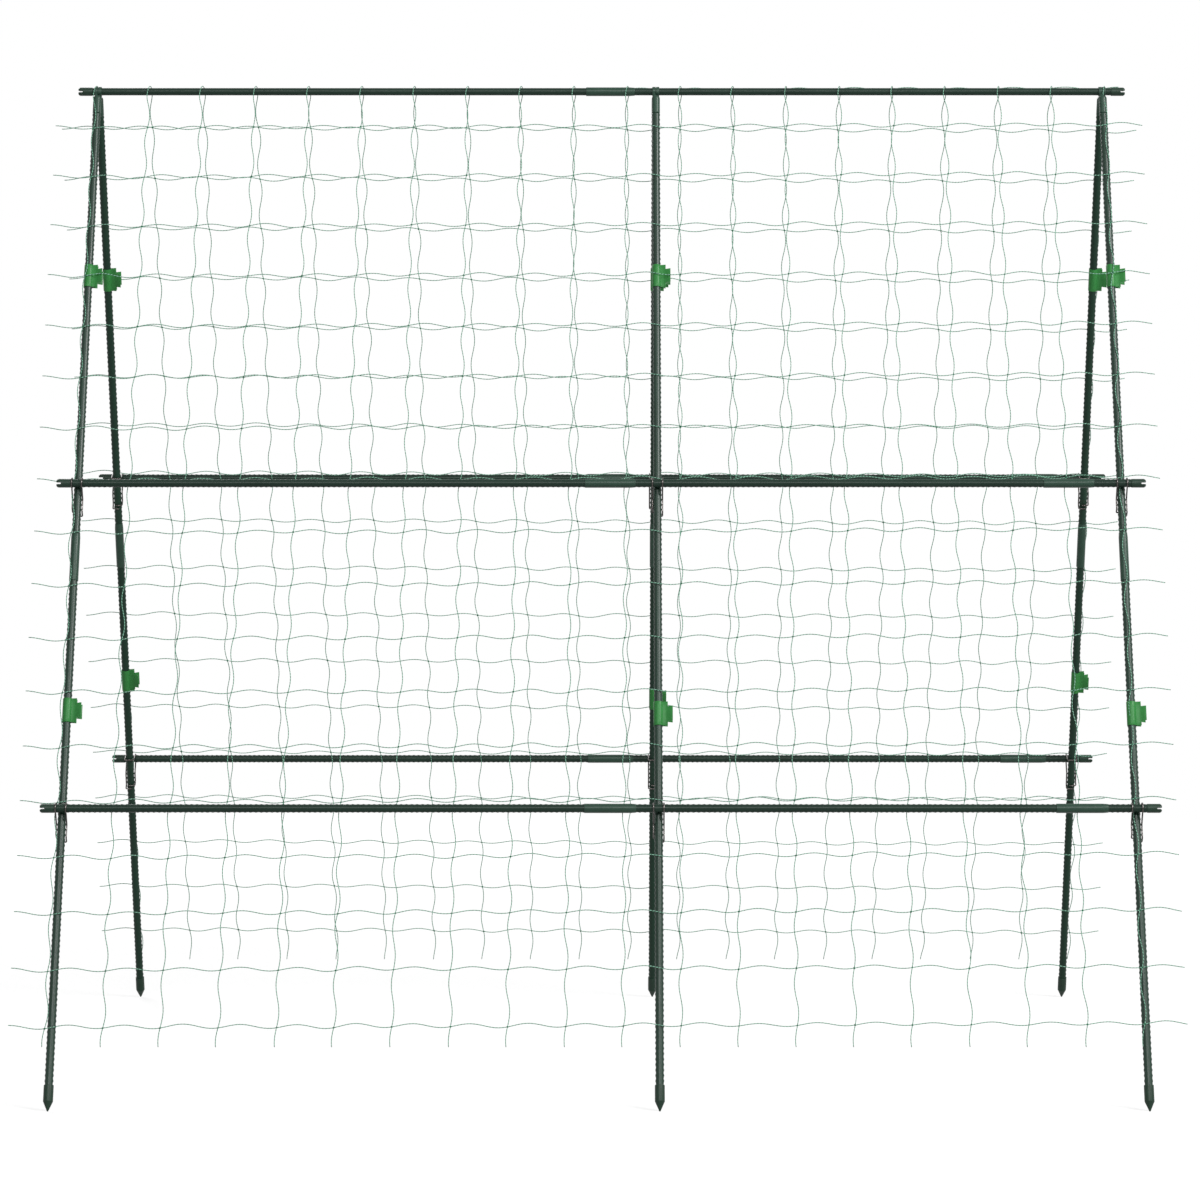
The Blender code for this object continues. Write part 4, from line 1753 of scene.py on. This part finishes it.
def unlit_rays(tree: bpy.types.NodeTree) -> Socket:
    """1 for the rays that should meet a plain white backdrop: camera, glossy and transmission.

    Args:
        tree: The tree that gets the nodes.

    Returns:
        The 1 or 0.
    """
    path = tree.nodes.new("ShaderNodeLightPath")
    total = path.outputs["Is Camera Ray"]
    for name in ("Is Glossy Ray", "Is Transmission Ray"):
        either = tree.nodes.new("ShaderNodeMath")
        either.operation = "MAXIMUM"
        tree.links.new(total, either.inputs[0])
        tree.links.new(path.outputs[name], either.inputs[1])
        total = either.outputs[0]
    return total


@dataclass(frozen=True)
class Softbox:
    """A soft rectangular lamp."""

    name: str
    place: Place
    size: Span
    power: float  # in watts

    def hang(self, target: Place) -> None:
        """Hangs the lamp so that it faces a point.

        Args:
            target: The point.
        """
        data = bpy.data.lights.new(self.name, "AREA")
        data.shape = "RECTANGLE"
        data.size, data.size_y = self.size
        data.energy = self.power
        lamp = linked(self.name, data)
        lamp.location = self.place
        aim = Vector(target) - Vector(self.place)
        lamp.rotation_euler = aim.to_track_quat("-Z", "Y").to_euler()


@dataclass(frozen=True)
class Studio:
    """Pale floor, soft lamps and the camera at the photograph's place."""

    camera_place: Place = (0.0247, -7.4851, 1.1880)
    focal: float = 3988.7  # in pixels of the photograph
    centre: float = 613.2  # column of the photograph straight in front of the camera
    horizon: float = 415.8  # row that the camera's own height falls on
    picture: int = 1200  # the photograph's width and height in pixels
    sensor: float = 36.0
    view_end: float = 60.0
    floor_size: float = 30.0
    floor_tone: Colour = (0.45, 0.45, 0.45)
    floor_roughness: float = 0.9
    floor_glow: float = 1.45
    shadow_share: float = 0.5  # how much of the floor's glow covers its shadow near the trellis
    shadow_reach: Span = (2.6, 4.6)
    world_level: float = 0.20  # as a light
    target: Place = (0.0, 0.0, 0.95)
    softboxes: tuple[Softbox, ...] = (
        Softbox("key_softbox", (6.1, -4.4, 6.3), (3.4, 2.6), 930.0),
        Softbox("strip_softbox", (0.0, -7.9, 5.1), (5.6, 1.4), 470.0),
        Softbox("back_softbox", (-4.5, 6.5, 6.2), (4.5, 4.5), 420.0),
    )

    def build(self) -> None:
        """Sets up the whole studio."""
        self.camera()
        self.floor()
        self.world()
        for softbox in self.softboxes:
            softbox.hang(self.target)
        bpy.context.scene.view_settings.view_transform = "Standard"

    def camera(self) -> None:
        """A level camera, its frame shifted as the photograph was cropped."""
        data = bpy.data.cameras.new("camera")
        data.sensor_width = self.sensor
        data.lens = self.focal / self.picture * self.sensor
        half = self.picture / 2
        data.shift_x = (half - self.centre) / self.picture
        data.shift_y = (self.horizon - half) / self.picture
        data.clip_end = self.view_end
        camera = linked("camera", data)
        camera.location = self.camera_place
        camera.rotation_euler = (math.pi / 2, 0.0, 0.0)
        bpy.context.scene.camera = camera

    def floor(self) -> None:
        """A pale floor, white to the camera and still darkened by the trellis's shadow."""
        sheet = NodeSheet("pale_floor")
        sheet.dress(base_color=(*self.floor_tone, 1.0), roughness=self.floor_roughness)
        away = sheet.node("VectorMath", operation="LENGTH")
        sheet.feed(sheet.object_space(), away.inputs[0])
        share = sheet.spread(away.outputs["Value"], self.shadow_share, 1.0, *self.shadow_reach)
        glow = sheet.node("Emission")
        strength = sheet.spread(away.outputs["Value"], self.floor_glow, 1.0, *self.shadow_reach)
        sheet.feed(strength, glow.inputs["Strength"])
        mix = sheet.node("MixShader")
        unlit = sheet.calculate("MULTIPLY", share, unlit_rays(sheet.tree))
        for number, source in enumerate((unlit, sheet.shader.outputs[0], glow.outputs[0])):
            sheet.feed(source, mix.inputs[number])
        sheet.feed(mix.outputs[0], sheet.tree.nodes["Material Output"].inputs["Surface"])
        draft = bmesh.new()
        bmesh.ops.create_grid(draft, x_segments=1, y_segments=1, size=self.floor_size)
        mesh = finished("floor", draft)
        mesh.materials.append(sheet.material)
        floor = linked("floor", mesh)

    def world(self) -> None:
        """A white backdrop to the camera, and a dimmer one as a light."""
        world = bpy.data.worlds.new("studio")
        bpy.context.scene.world = world
        world.use_nodes = True
        tree = world.node_tree
        background = tree.nodes["Background"]
        background.inputs["Color"].default_value = (1.0, 1.0, 1.0, 1.0)
        level = tree.nodes.new("ShaderNodeMapRange")
        level.inputs["To Min"].default_value = self.world_level
        level.inputs["To Max"].default_value = 1.0
        tree.links.new(unlit_rays(tree), level.inputs["Value"])
        tree.links.new(level.outputs["Result"], background.inputs["Strength"])


def main() -> None:
    """Builds the studio and every sub-assembly in order."""
    logging.basicConfig(level=logging.INFO, format="%(name)s: %(message)s")
    Studio().build()
    layout = Layout.from_frame()
    finishes = Finishes()
    for assembly in (Legs, Bars, WireTies, SnapClips, StringNet):
        assembly(layout, finishes).build()


if __name__ == "__main__":
    main()
